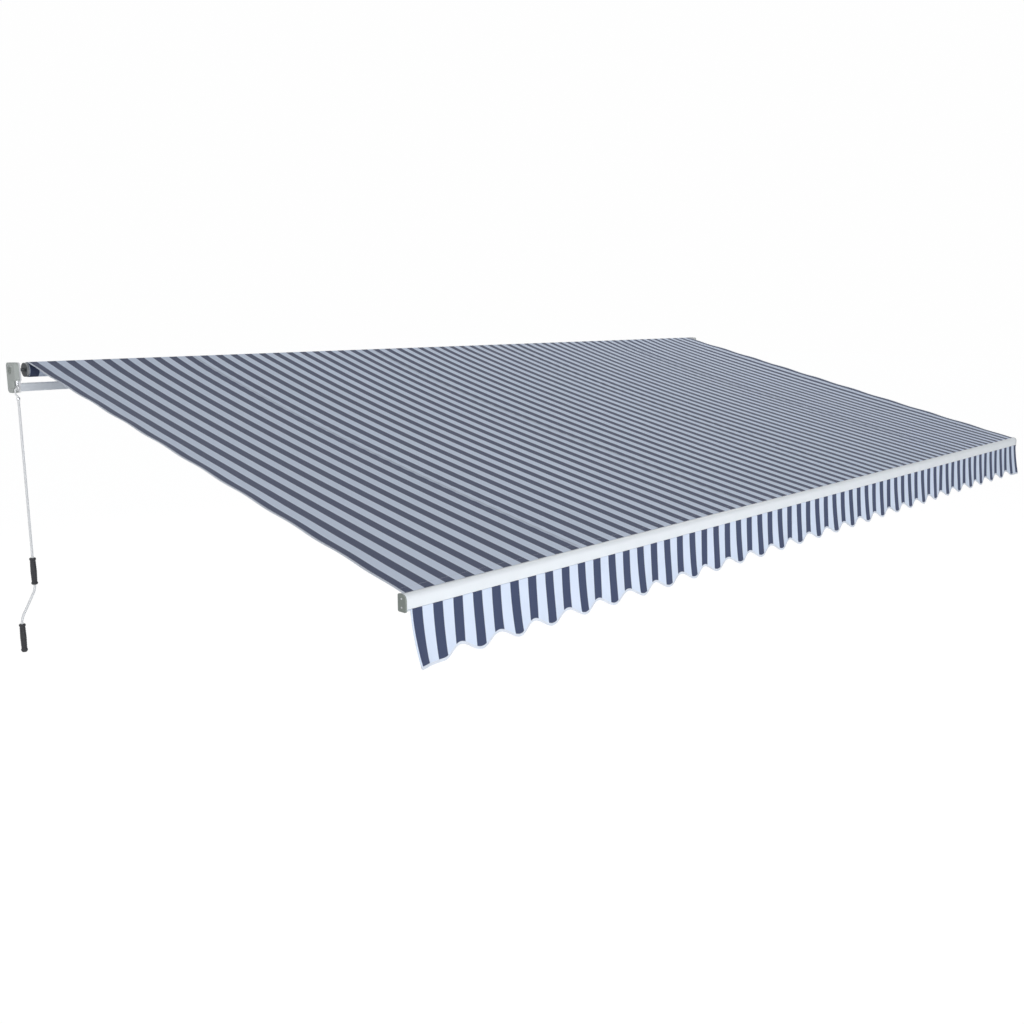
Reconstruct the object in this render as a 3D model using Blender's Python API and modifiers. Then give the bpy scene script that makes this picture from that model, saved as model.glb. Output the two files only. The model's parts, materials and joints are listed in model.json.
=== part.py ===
"""Retractable folding-arm patio awning with a striped cloth and a hand crank.

Metres, +Z up. The wall is the plane y = 0 and the awning opens towards -Y.
The origin is the middle of the centre wall bracket's back face. +X is to the
right for someone who stands in front of the awning.
"""
import math

import bmesh
import bpy
from mathutils import Matrix, Vector

# Overall sizes
frame_width = 5.97          # over the outer faces of the two end housings
cloth_width = 5.80          # cut width of the striped cloth
cloth_run = 2.888           # cloth between the roll and the front bar
cloth_slope = math.radians(13.14)
cloth_gauge = 0.0012        # thickness of the solid that stands for the cloth
cloth_sag = 0.042           # how far the middle of the cloth hangs below its edges
fit = 0.0003                # gap between pieces that touch
running = 0.0006            # gap between pieces that turn in each other

# Torsion bar and wall brackets
bar_side = 0.040
bar_wall = 0.0025
bar_behind = 0.055          # wall plane to the back of the bar
bracket_x = (-2.42, 0.0, 2.42)
bracket_names = ("left", "centre", "right")
bracket_plate = 0.009       # thickness of the wall plate
bracket_width = 0.140
bracket_height = 0.150
bracket_corner = 0.012
cradle_width = 0.090        # length of the cradle along the bar
cradle_wall = 0.010
cradle_lip = 0.014          # cradle's front lip, above the bar's underside
cradle_round = 0.004        # soft lower front edge of the cradle
clamp_width = 0.072
clamp_edge = 0.003          # soft upper front edge of the clamp
clamp_nose = 0.013          # how far the clamp reaches down the front of the bar
clamp_relief = 0.002        # free space round the clamp's rear end
anchor_hole = 0.0055        # radius of the four holes for wall anchors
anchor_inset = 0.020        # hole centres below the plate's top and above its foot
anchor_side_inset = 0.011
bracket_bolt_radius = 0.005
bracket_bolt_depth = 0.028  # thread below the top of the bar
bracket_bolt_head = (0.0082, 0.0064)  # radius, height

# Roller with the cloth on it
roller_radius = 0.035
roller_wall = 0.0015
roll_thickness = 0.003      # the turns that stay on the tube
roller_above = 0.027        # clear gap between the bar and the roll
roller_overhang = 0.012     # tube beyond the cloth at each end
plug_flange = 0.003
plug_depth = 0.040
axle_radius = 0.008

# End supports and housings
support_thickness = 0.014
housing_thickness = 0.0237
end_corner = 0.018
end_below = 0.006           # support below the bar
end_lip = 0.007             # support in front of the bar
end_depth = 0.080           # support from back to front
gear_depth = 0.098          # the gearbox is deeper than the support
worm_forward = 0.047        # worm shaft in front of the roller axis
worm_radius = 0.0055
worm_hidden = 0.026         # worm shaft inside the gearbox
worm_well = 0.030           # depth of the hole that it turns in
step_below = 0.012          # end plate narrows this far under the roll
step_round = 0.0055
housing_edge = 0.003
dial_radius = 0.0200        # round groove on the outer face of a housing
dial_groove = (0.003, 0.002)  # width, depth
screw_recess = (0.0060, 0.003)  # radius, depth
eye_ring_radius = 0.0115    # middle of the ring's wire
eye_wire = 0.0042
eye_below = 0.083           # ring centre below the roller axis

# Hand crank
hook_wire = 0.0042
hook_half_width = 0.0125
hook_tail = 0.010           # open end, below the middle of the bend
hook_neck = 0.030           # hook's bend to the straight shank
hook_shank = 0.030          # shank inside the rod's socket
socket_above = 0.012        # rod starts this far below the neck
rod_radius = 0.0065
rod_length = 1.023          # ring centre to the bend
crank_offset = 0.080        # sideways, from the rod to the lower grip
crank_drop = 0.141          # height of the slanting stretch
grip_radius = 0.0150
upper_grip_length = 0.138
lower_grip_length = 0.142
grip_gap = 0.006            # a bend to the grip beside it
grip_floor = 0.010          # closed end of the lower grip
grip_waist = 0.88           # share of the grip's radius
grip_flange = 1.08
bend_reach = 0.020          # straight rod lost to each bend

# Arms, measured in their own plane
arm_x = 2.15                # shoulder and front pins, left and right of the middle
pitch_clear = 0.002         # knuckle to the mount behind it
pitch_below = 0.010         # pitch pin below the middle of the bar
shoulder_ahead = 0.070      # shoulder pin in front of the pitch pin
rest_angle = math.radians(14.0)
tube_offset = 0.030         # tube beside the line through its pins
upper_tube = (0.052, 0.040)  # width in the arm plane, height
fore_tube = (0.044, 0.034)
tube_wall = 0.0022
tube_corner = 0.008         # outer corner radius of either tube
socket_depth = 0.045        # how far a casting's tongue enters its tube
pin_head = 0.003
pin_head_reach = 0.003      # a head's edge beyond its pin

shoulder_pin_radius = 0.009
shoulder_eye_radius = 0.024
shoulder_eye_height = 0.040
shoulder_casting = 0.115    # pin to the start of the upper tube
knuckle_lug = 0.012
knuckle_lug_radius = 0.026
knuckle_barrel_radius = 0.018
knuckle_barrel_length = 0.056
pitch_pin_radius = 0.008
ear_thickness = 0.012
ear_wall = 0.011            # metal round the pitch pin
mount_wall = 0.012
mount_length = 0.110
web_clear = 0.012           # knuckle's web to the shoulder eye

elbow_pin_radius = 0.009
elbow_eye_radius = 0.022
elbow_lug = 0.011
elbow_lug_radius = 0.026
elbow_slot_radius = 0.062
elbow_casting = 0.120       # pin to the start of either tube

front_pin_radius = 0.008
front_eye_radius = 0.018
front_eye_height = 0.030
front_casting = 0.100       # pin to the end of the forearm's tube
front_lug = 0.009
front_lug_radius = 0.020
front_lug_flare = 0.006     # cheeks widen towards the plate
front_pin_back = 0.072      # pin behind the front bar
front_plate = (0.076, 0.012, 0.050)

# Front bar
front_bar_depth = 0.038
front_bar_height = 0.060
front_bar_wall = 0.0025
front_bar_nose = 0.020      # radius of the upper front edge
front_bar_edge = 0.006      # radius of the other edges
front_bar_overhang = 0.004  # bar beyond the cloth at each end
front_cap = 0.006
groove_radius = 0.0036
groove_neck = 0.0026
groove_deep = 0.0065        # groove centre below the surface
cloth_groove_back = 0.025   # cloth groove behind the front face
valance_groove_down = 0.052  # valance groove below the top
welt_radius = 0.0028
pin_height_on_bar = 0.020   # front pins below the top of the bar

# Valance
stripe_count = 121          # dark and light bands, a dark one at both edges
valance_short = 0.158
valance_long = 0.196
valance_lean = 0.016        # lower edge in front of the upper one
valance_wave = 0.009        # depth of the waves at the lower edge
valance_curve = 1.3         # above 1 the cloth leaves the bar slowly
valance_gauge = 0.0012

# Everything below follows from the sizes above
bar_y = -(bar_behind + bar_side / 2)
roll_radius = roller_radius + roll_thickness
roller_z = bar_side / 2 + roller_above + roll_radius
band = cloth_width / stripe_count
scallop = 4 * band
slope_dir = Vector((0, -math.cos(cloth_slope), -math.sin(cloth_slope)))
slope_up = Vector((0, -math.sin(cloth_slope), math.cos(cloth_slope)))
roller_axis = Vector((0, bar_y, roller_z))
cloth_clearance = roll_radius + running + cloth_gauge / 2
cloth_start = roller_axis + slope_up * cloth_clearance
cloth_end = cloth_start + slope_dir * cloth_run
front_face_y = cloth_end.y - cloth_groove_back
front_top_z = cloth_end.z - groove_neck
front_back_y = front_face_y + front_bar_depth
support_inner = frame_width / 2 - housing_thickness - fit - support_thickness
support_outer = support_inner + support_thickness

mount_front = bar_y - bar_side / 2 - fit - mount_wall
pitch_pin = Vector((0, mount_front - pitch_clear - knuckle_barrel_radius, -pitch_below))
front_pin = Vector((0, front_back_y + front_pin_back, front_top_z - pin_height_on_bar))
arm_line = front_pin - pitch_pin
arm_slope = math.atan2(-arm_line.z, -arm_line.y)
arm_reach = arm_line.length - shoulder_ahead
link_length = arm_reach / (2 * math.cos(rest_angle))
worm_x = -(frame_width / 2 - housing_thickness / 2)
eye_centre = Vector((worm_x, bar_y - worm_forward, roller_z - eye_below))


# Scene and helpers

for leftover in list(bpy.data.objects):
    bpy.data.objects.remove(leftover, do_unlink=True)

parts = bpy.data.collections.new("patio_awning")
cutters = bpy.data.collections.new("cutters")
bpy.context.scene.collection.children.link(parts)
bpy.context.scene.collection.children.link(cutters)


def make_material(name, colour, roughness, metallic=0.0):
    """A Principled material with one colour."""
    material = bpy.data.materials.new(name)
    material.use_nodes = True
    shader = material.node_tree.nodes["Principled BSDF"]
    shader.inputs["Base Color"].default_value = (*colour, 1.0)
    shader.inputs["Roughness"].default_value = roughness
    shader.inputs["Metallic"].default_value = metallic
    material.diffuse_color = (*colour, 1.0)
    return material


def make_stripes(name, dark, light, roughness):
    """Bands of two colours that run from the wall to the front bar."""
    material = make_material(name, dark, roughness)
    nodes = material.node_tree.nodes
    links = material.node_tree.links
    place = nodes.new("ShaderNodeTexCoord")
    split = nodes.new("ShaderNodeSeparateXYZ")
    shift = nodes.new("ShaderNodeMath")
    shift.operation = "ADD"
    shift.inputs[1].default_value = cloth_width / 2
    turn = nodes.new("ShaderNodeMath")
    turn.operation = "PINGPONG"
    turn.inputs[1].default_value = band
    centre = nodes.new("ShaderNodeMath")
    centre.operation = "SUBTRACT"
    centre.inputs[1].default_value = band / 2
    pick = nodes.new("ShaderNodeMath")
    pick.operation = "GREATER_THAN"
    pick.inputs[1].default_value = band / 2
    mix = nodes.new("ShaderNodeMix")
    mix.data_type = "RGBA"
    mix.inputs["A"].default_value = (*dark, 1.0)
    mix.inputs["B"].default_value = (*light, 1.0)
    links.new(place.outputs["Object"], split.inputs[0])
    links.new(split.outputs["X"], shift.inputs[0])
    links.new(shift.outputs[0], centre.inputs[0])
    links.new(centre.outputs[0], turn.inputs[0])
    links.new(turn.outputs[0], pick.inputs[0])
    links.new(pick.outputs[0], mix.inputs["Factor"])
    links.new(mix.outputs["Result"], nodes["Principled BSDF"].inputs["Base Color"])
    return material


white_paint = make_material("white_paint", (0.86, 0.87, 0.89), 0.35)
cast_paint = make_material("cast_paint", (0.80, 0.81, 0.82), 0.45)
grey_housing = make_material("grey_housing", (0.36, 0.39, 0.38), 0.5)
bare_steel = make_material("bare_steel", (0.62, 0.63, 0.64), 0.32, 1.0)
zinc_tube = make_material("zinc_tube", (0.66, 0.67, 0.68), 0.4, 1.0)
crank_paint = make_material("crank_paint", (0.78, 0.79, 0.80), 0.4)
grip_plastic = make_material("grip_plastic", (0.028, 0.029, 0.033), 0.55)
cap_plastic = make_material("cap_plastic", (0.30, 0.33, 0.31), 0.5)
welt_cord = make_material("welt_cord", (0.75, 0.76, 0.78), 0.7)
striped_cloth = make_stripes("striped_cloth", (0.045, 0.060, 0.135), (0.72, 0.76, 0.86), 0.85)


def add_object(name, mesh, material, collection=parts):
    """An object for a finished mesh, shaded smooth below 35 degrees."""
    item = bpy.data.objects.new(name, mesh)
    collection.objects.link(item)
    mesh.materials.clear()
    mesh.materials.append(material)
    mesh.shade_smooth()
    mesh.set_sharp_from_angle(angle=math.radians(35))
    return item


def as_cutter(item):
    """Put a shape among the tools that cut or join others."""
    for owner in list(item.users_collection):
        owner.objects.unlink(item)
    cutters.objects.link(item)
    item.hide_render = True
    item.display_type = "WIRE"
    return item


def combine(item, other, operation):
    """Cut another shape out of a piece, or join it on."""
    step = item.modifiers.new(operation.lower(), "BOOLEAN")
    step.operation = operation
    step.object = as_cutter(other)
    step.solver = "EXACT"


def make_box(name, size, centre, material, bevel=0.0):
    """A box, with its edges rounded where a bevel is given."""
    mesh = bpy.data.meshes.new(name)
    build = bmesh.new()
    bmesh.ops.create_cube(build, size=1.0)
    bmesh.ops.scale(build, vec=size, verts=build.verts)
    build.to_mesh(mesh)
    build.free()
    item = add_object(name, mesh, material)
    item.location = centre
    if bevel:
        rounding = item.modifiers.new("rounded", "BEVEL")
        rounding.width = bevel
        rounding.segments = 2
        rounding.limit_method = "ANGLE"
    return item


def make_cylinder(name, radius, length, centre, material, along="Z", sides=24):
    """A solid cylinder centred on a point, along one of the axes."""
    mesh = bpy.data.meshes.new(name)
    build = bmesh.new()
    bmesh.ops.create_cone(build, cap_ends=True, segments=sides,
                          radius1=radius, radius2=radius, depth=length)
    turn = {"X": Matrix.Rotation(math.pi / 2, 3, "Y"),
            "Y": Matrix.Rotation(math.pi / 2, 3, "X"),
            "Z": Matrix.Identity(3)}[along]
    bmesh.ops.rotate(build, matrix=turn, verts=build.verts)
    build.to_mesh(mesh)
    build.free()
    item = add_object(name, mesh, material)
    item.location = centre
    return item


def make_turned(name, profile, centre, material, sides=32):
    """A solid turned about Z. The profile runs down the outer side, as (radius, height)."""
    mesh = bpy.data.meshes.new(name)
    build = bmesh.new()
    corners = [build.verts.new((radius, 0, height)) for radius, height in profile]
    for first, second in zip(corners, corners[1:]):
        build.edges.new((first, second))
    build.to_mesh(mesh)
    build.free()
    item = add_object(name, mesh, material)
    item.location = centre
    screw = item.modifiers.new("turned", "SCREW")
    screw.steps = sides
    screw.render_steps = sides
    screw.use_merge_vertices = True
    screw.merge_threshold = 0.00001
    screw.use_smooth_shade = True
    return item


def mesh_of(curve_item):
    """A welded mesh from a curve object, which is then removed."""
    bpy.context.view_layer.update()
    graph = bpy.context.evaluated_depsgraph_get()
    mesh = bpy.data.meshes.new_from_object(curve_item.evaluated_get(graph))
    build = bmesh.new()
    build.from_mesh(mesh)
    bmesh.ops.remove_doubles(build, verts=build.verts, dist=0.00001)
    bmesh.ops.recalc_face_normals(build, faces=build.faces)
    build.to_mesh(mesh)
    build.free()
    curve = curve_item.data
    bpy.data.objects.remove(curve_item, do_unlink=True)
    bpy.data.curves.remove(curve)
    return mesh


def make_extrusion(name, outlines, length, centre, material, along="Z"):
    """Flat outlines pushed out to a length. Outlines inside the first are holes.

    Along X an outline's points are (y, z), along Z they are (x, y).
    """
    curve = bpy.data.curves.new(name, "CURVE")
    curve.dimensions = "2D"
    curve.fill_mode = "BOTH"
    curve.extrude = length / 2
    for outline in outlines:
        spline = curve.splines.new("POLY")
        spline.points.add(len(outline) - 1)
        for point, (across, up) in zip(spline.points, outline):
            point.co = (across, up, 0, 1)
        spline.use_cyclic_u = True
    holder = bpy.data.objects.new(name, curve)
    parts.objects.link(holder)
    mesh = mesh_of(holder)
    if along == "X":
        mesh.transform(Matrix(((0, 0, 1, 0), (1, 0, 0, 0), (0, 1, 0, 0), (0, 0, 0, 1))))
    item = add_object(name, mesh, material)
    item.location = centre
    return item


def make_wire(name, points, radius, material, resolution=3):
    """A round bar along a list of points, with closed ends."""
    curve = bpy.data.curves.new(name, "CURVE")
    curve.dimensions = "3D"
    curve.bevel_depth = radius
    curve.bevel_resolution = resolution
    curve.use_fill_caps = True
    spline = curve.splines.new("POLY")
    spline.points.add(len(points) - 1)
    for point, place in zip(spline.points, points):
        point.co = (*place, 1)
    holder = bpy.data.objects.new(name, curve)
    parts.objects.link(holder)
    return add_object(name, mesh_of(holder), material)


def circle(radius, centre=(0, 0), sides=24, start=0.0):
    """Points round a circle."""
    turns = [start + 2 * math.pi * step / sides for step in range(sides)]
    return [(centre[0] + radius * math.cos(turn), centre[1] + radius * math.sin(turn))
            for turn in turns]


def circle_profile(middle, radius, sides):
    """A closed round profile for make_turned, the first point given again at the end."""
    points = circle(radius, (middle, 0), sides)
    return points[::-1] + [points[-1]]


def arc(centre, radius, first, last, steps):
    """Points along an arc, from one angle to another, in degrees."""
    turns = [math.radians(first + (last - first) * step / steps) for step in range(steps + 1)]
    return [(centre[0] + radius * math.cos(turn), centre[1] + radius * math.sin(turn))
            for turn in turns]


def rounded_box(left, right, low, high, radii, steps=4):
    """A rectangle with its four corners rounded: low left, low right, high right, high left."""
    low_left, low_right, high_right, high_left = radii
    return (arc((left + low_left, low + low_left), low_left, 180, 270, steps)
            + arc((right - low_right, low + low_right), low_right, 270, 360, steps)
            + arc((right - high_right, high - high_right), high_right, 0, 90, steps)
            + arc((left + high_left, high - high_left), high_left, 90, 180, steps))


def union_of(name, first, *others):
    """One piece from several that overlap."""
    first.name = name
    for other in others:
        combine(first, other, "UNION")
    return first


def parent_to(holder, *items):
    for item in items:
        item.parent = holder


def make_empty(name, location, parent=None, turn=(0, 0, 0)):
    empty = bpy.data.objects.new(name, None)
    empty.empty_display_size = 0.05
    parts.objects.link(empty)
    empty.location = location
    empty.rotation_euler = turn
    empty.parent = parent
    return empty


# Torsion bar and wall brackets

def make_torsion_bar():
    half = bar_side / 2
    inside = half - bar_wall
    outer = rounded_box(-half, half, -half, half, [0.004] * 4, 3)
    inner = rounded_box(-inside, inside, -inside, inside, [0.002] * 4, 2)
    length = 2 * (support_outer - fit)
    make_extrusion("torsion_bar", [outer, inner], length, (0, bar_y, 0), white_paint, "X")


def make_wall_bracket(label, x):
    """A wall plate with a cradle under the bar, a clamp over it and the clamp's bolt."""
    half = bar_side / 2
    back = bar_y + half + fit
    front = bar_y - half - fit
    shelf = -half - fit
    block_top = half
    lip_top = -half + cradle_lip
    nose = front - cradle_wall
    cradle = [(-bracket_plate / 2, -bracket_height / 2 + bracket_corner),
              (nose + cradle_round, shelf - cradle_wall),
              (nose, shelf - cradle_wall + cradle_round),
              (nose, lip_top),
              (front, lip_top),
              (front, shelf),
              (back, shelf),
              (back, block_top),
              (-bracket_plate / 2, block_top + cradle_wall)]
    plate = make_extrusion("plate", [rounded_box(-bracket_width / 2, bracket_width / 2,
                                                 -bracket_height / 2, bracket_height / 2,
                                                 [bracket_corner] * 4, 3)],
                           bracket_plate, (x, -bracket_plate / 2, 0), cast_paint)
    plate.data.transform(Matrix.Rotation(math.pi / 2, 4, "X"))
    body = make_extrusion("cradle", [cradle], cradle_width, (x, 0, 0), cast_paint, "X")
    bracket = union_of("wall_bracket_" + label, plate, body)
    hole_x = bracket_width / 2 - anchor_side_inset
    hole_z = bracket_height / 2 - anchor_inset
    for side in (-1, 1):
        for level in (-1, 1):
            hole = make_cylinder("anchor_hole", anchor_hole, bracket_plate * 3,
                                 (x + side * hole_x, 0, level * hole_z), cast_paint, "Y", 12)
            combine(bracket, hole, "DIFFERENCE")
    bolt_y = (back - bracket_plate) / 2
    clamp_low = half + fit
    clamp_top = clamp_low + cradle_wall
    nose_low = half - clamp_nose
    rear_y = -bracket_plate - clamp_relief * 2
    clamp = [(rear_y, clamp_low), (rear_y, clamp_top), (nose + clamp_edge, clamp_top),
             (nose, clamp_top - clamp_edge), (nose, nose_low), (front, nose_low),
             (front, clamp_low)]
    clamp_item = make_extrusion("bracket_clamp_" + label, [clamp], clamp_width, (x, 0, 0),
                                cast_paint, "X")
    bore = make_cylinder("bolt_hole", bracket_bolt_radius + fit, bar_side * 2, (x, bolt_y, 0),
                         cast_paint, "Z", 16)
    combine(clamp_item, bore, "DIFFERENCE")
    shank_low = half - bracket_bolt_depth
    pocket = make_cylinder("bolt_pocket", bracket_bolt_radius + fit, bar_side,
                           (x, bolt_y, shank_low - fit + half), cast_paint, "Z", 16)
    combine(bracket, pocket, "DIFFERENCE")
    relief_height = cradle_wall * 2
    relief = make_box("clamp_relief", (clamp_width + 2 * clamp_relief, bar_behind, relief_height),
                      (x, rear_y + clamp_relief - bar_behind / 2, half + relief_height / 2),
                      cast_paint)
    combine(bracket, relief, "DIFFERENCE")
    head_low = clamp_top + fit
    head_radius, head_height = bracket_bolt_head
    soft = bracket_bolt_radius / 5
    bolt = [(0, head_low + head_height), (head_radius - soft, head_low + head_height),
            (head_radius, head_low + head_height - soft), (head_radius, head_low),
            (bracket_bolt_radius, head_low), (bracket_bolt_radius, shank_low), (0, shank_low)]
    make_turned("bracket_bolt_" + label, bolt, (x, bolt_y, 0), bare_steel, 12)


# Roller, its plugs and the turns of cloth on it

def make_roller():
    tube_half = cloth_width / 2 + roller_overhang
    outer = circle(roller_radius, sides=36)
    inner = circle(roller_radius - roller_wall, sides=36)
    make_extrusion("roller_tube", [outer, inner], 2 * tube_half, roller_axis, zinc_tube, "X")
    steps = 42
    leave = math.pi / 2 - cloth_slope + math.radians(6)
    spiral = []
    for step in range(steps + 1):
        turn = leave + math.radians(4) + (2 * math.pi - math.radians(4)) * step / steps
        radius = roll_radius - cloth_gauge * (1 - step / steps)
        spiral.append((radius * -math.cos(turn), radius * math.sin(turn)))
    bore = circle(roller_radius + fit, sides=36)
    make_extrusion("fabric_roll", [spiral, bore], cloth_width, roller_axis, striped_cloth, "X")
    inside = roller_radius - roller_wall - fit
    for label, side in (("left", -1), ("right", 1)):
        reach = support_outer - tube_half - fit
        profile = [(0, reach), (axle_radius, reach), (axle_radius, plug_flange),
                   (roller_radius, plug_flange), (roller_radius, fit),
                   (inside, fit), (inside, -plug_depth), (0, -plug_depth)]
        plug = make_turned("roller_plug_" + label, profile, (0, 0, 0), cast_paint, 28)
        plug.location = roller_axis + Vector((side * tube_half, 0, 0))
        plug.rotation_euler = (0, side * math.pi / 2, 0)


# End supports, gearbox and idle bearing

def end_outline(depth):
    """Rounded end plate in (y, z), as deep as asked above and narrower round the bar."""
    back = bar_y + end_depth / 2
    low_front = bar_y - bar_side / 2 - end_lip
    high_front = back - depth
    low = -bar_side / 2 - end_below
    high = roller_z + roll_radius
    step_z = roller_z - roll_radius - step_below
    radius = end_corner
    small = step_round
    return (arc((back - radius, high - radius), radius, 0, 90, 4)
            + arc((high_front + radius, high - radius), radius, 90, 180, 4)
            + arc((high_front + small, step_z + small), small, 180, 270, 2)
            + arc((low_front - small, step_z - small), small, 90, 0, 2)
            + arc((low_front + radius, low + radius), radius, 180, 270, 4)
            + arc((back - radius, low + radius), radius, 270, 360, 4))


def make_end(label, side):
    """The support that carries the roller and ends the torsion bar, and its outer housing."""
    support = make_extrusion("roller_support_" + label, [end_outline(end_depth)],
                             support_thickness,
                             (side * (support_inner + support_thickness / 2), 0, 0),
                             cast_paint, "X")
    socket = make_box("socket", (support_thickness * 2, bar_side + 2 * fit, bar_side + 2 * fit),
                      (side * support_inner, bar_y, 0), cast_paint)
    combine(support, socket, "DIFFERENCE")
    bore = make_cylinder("axle_bore", axle_radius + running, support_thickness * 3,
                         (side * support_inner, bar_y, roller_z), cast_paint, "X", 32)
    combine(support, bore, "DIFFERENCE")
    name = "gearbox_housing" if side < 0 else "idle_bearing_housing"
    depth = gear_depth if side < 0 else end_depth
    middle = side * (support_outer + fit + housing_thickness / 2)
    housing = make_extrusion(name, [end_outline(depth)], housing_thickness, (middle, 0, 0),
                             grey_housing, "X")
    rounding = housing.modifiers.new("rounded", "BEVEL")
    rounding.width = housing_edge
    rounding.segments = 1
    rounding.limit_method = "ANGLE"
    rounding.angle_limit = math.radians(60)
    groove_width, groove_depth = dial_groove
    outer = circle(dial_radius + groove_width / 2)
    inner = circle(dial_radius - groove_width / 2)
    ring = make_extrusion("dial_groove", [outer, inner], groove_depth * 2,
                          (side * frame_width / 2, bar_y, roller_z), grey_housing, "X")
    combine(housing, ring, "DIFFERENCE")
    recess_radius, recess_depth = screw_recess
    for y, z in end_screw_places():
        recess = make_cylinder("screw_recess", recess_radius, recess_depth * 2,
                               (side * frame_width / 2, y, z), grey_housing, "X", 12)
        combine(housing, recess, "DIFFERENCE")
    if side < 0:
        well = make_cylinder("worm_well", worm_radius + running, worm_well * 2,
                             (worm_x, eye_centre.y, roller_z - roll_radius - step_below),
                             grey_housing)
        combine(housing, well, "DIFFERENCE")


def end_screw_places():
    """Where the housing's screws sit, as (y, z)."""
    inset = end_corner
    back = bar_y + end_depth / 2 - inset
    front = bar_y - end_depth / 2 + inset
    high = roller_z + roll_radius - inset
    low = -bar_side / 2 - end_below + inset
    low_front = bar_y - bar_side / 2 - end_lip + inset
    return [(back, high), (front, high), (back, low), (low_front, low)]


def make_worm_eye():
    """The ring that the crank hooks into, on the end of the gearbox's worm shaft."""
    top = roller_z - roll_radius - step_below + worm_hidden
    low = eye_centre.z + eye_ring_radius
    shaft = make_cylinder("worm_eye", worm_radius, top - low,
                          (worm_x, eye_centre.y, (top + low) / 2), bare_steel, "Z", 20)
    ring = make_turned("ring", circle_profile(eye_ring_radius, eye_wire, 8), eye_centre,
                       bare_steel, 28)
    ring.rotation_euler = (0, math.pi / 2, 0)
    combine(shaft, ring, "UNION")


# Hand crank

def make_crank():
    """Hook, rod and the slanting stretch to the lower handle, then the two grips."""
    rise = eye_centre.z - eye_ring_radius + eye_wire + hook_wire + running
    middle = rise - hook_half_width
    hook = [(hook_half_width, middle - hook_tail)]
    hook += [(hook_half_width * math.cos(turn), middle + hook_half_width * math.sin(turn))
             for turn in [math.pi * step / 12 for step in range(13)]]
    neck = middle - hook_neck
    hook += [(-hook_half_width, middle - hook_neck * 0.4),
             (-hook_half_width * 0.7, middle - hook_neck * 0.67),
             (-hook_half_width * 0.2, middle - hook_neck * 0.9),
             (0, neck), (0, neck - hook_shank)]
    hook_points = [(eye_centre.x + across, eye_centre.y, height) for across, height in hook]
    bend = eye_centre.z - rod_length
    low = bend - crank_drop
    grip_low = low - bend_reach - grip_gap - lower_grip_length
    hook_item = make_wire("hook", hook_points, hook_wire, bare_steel, 2)
    rod_top = neck - socket_above
    soft = bend_reach
    slant = math.hypot(crank_offset, crank_drop)
    step_x = crank_offset / slant * soft
    step_z = crank_drop / slant * soft
    rod_points = [(0, rod_top), (0, bend + soft), (-step_x * 0.3, bend + soft * 0.3 - step_z * 0.3),
                  (-step_x, bend - step_z), (-crank_offset + step_x, low + step_z),
                  (-crank_offset + step_x * 0.3, low - soft * 0.3 + step_z * 0.3),
                  (-crank_offset, low - soft),
                  (-crank_offset, grip_low + grip_floor + running)]
    places = [(eye_centre.x + across, eye_centre.y, height) for across, height in rod_points]
    rod = make_wire("crank_rod", places, rod_radius, crank_paint, 2)
    combine(rod, hook_item, "UNION")
    upper_low = bend + soft + grip_gap
    make_grip("upper_grip", (eye_centre.x, eye_centre.y, upper_low), upper_grip_length, True)
    make_grip("lower_grip", (eye_centre.x - crank_offset, eye_centre.y, grip_low),
              lower_grip_length, False)


def make_grip(name, base, length, through):
    """A sleeve that turns on the rod: a shallow barrel with a flange at each end."""
    waist = grip_radius * grip_waist
    flange = grip_radius * grip_flange
    outer = [(grip_radius, length - 0.002), (flange, length - 0.004),
             (flange, length - 0.009), (waist, length - 0.014),
             (grip_radius, length * 0.5), (waist, 0.014), (flange, 0.009),
             (flange, 0.004), (grip_radius, 0.002)]
    bore = rod_radius + running
    if through:
        profile = [(bore, length)] + [(grip_radius * 0.9, length)] + outer
        profile += [(grip_radius * 0.9, 0), (bore, 0), (bore, length)]
    else:
        profile = [(bore, length), (grip_radius * 0.9, length)] + outer
        profile = profile[:-1] + [(grip_radius * 0.8, -0.004), (0, -0.006)]
        profile = [(0, grip_floor), (bore, grip_floor)] + profile
    make_turned(name, profile, base, grip_plastic, 16)


# Arms

def link_outline(eye_radius, tube_half, start, inward):
    """A casting from its eye at (0, 0) to its tube, as (x, y) with the tube towards -y."""
    beside = tube_offset
    near = beside - tube_half
    far = beside + tube_half
    points = arc((0, 0), eye_radius, 20, 160, 8)
    points += [(-eye_radius, 0), (near * 0.2 - eye_radius * 0.8, -start * 0.25),
               (near, -start * 0.50), (near, -start), (far, -start), (far, -start * 0.80),
               (eye_radius + (far - eye_radius) * 0.35, -start * 0.30), (eye_radius, 0)]
    return [(x * inward, y) for x, y in points]


def make_tube_tongue(name, tube, start, inward, material):
    """The part of a casting that fills the end of its hollow tube."""
    half_w = tube[0] / 2 - tube_wall - fit
    half_h = tube[1] / 2 - tube_wall - fit
    rooted = 0.004
    item = make_extrusion(name, [rounded_box(-half_w, half_w, -half_h, half_h,
                                             [tube_corner - tube_wall] * 4, 2)],
                          socket_depth + rooted,
                          (inward * tube_offset, -start - socket_depth / 2 + rooted / 2, 0),
                          material)
    item.data.transform(Matrix.Rotation(math.pi / 2, 4, "X"))
    return item


def make_arm_tube(name, tube, length, middle_y, inward, holder):
    half_w, half_h = tube[0] / 2, tube[1] / 2
    outer = rounded_box(-half_w, half_w, -half_h, half_h, [tube_corner] * 4, 3)
    inner = rounded_box(-half_w + tube_wall, half_w - tube_wall,
                        -half_h + tube_wall, half_h - tube_wall,
                        [tube_corner - tube_wall] * 4, 2)
    item = make_extrusion(name, [outer, inner], length, (inward * tube_offset, middle_y, 0),
                          white_paint)
    item.data.transform(Matrix.Rotation(math.pi / 2, 4, "X"))
    item.parent = holder
    return item


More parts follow.
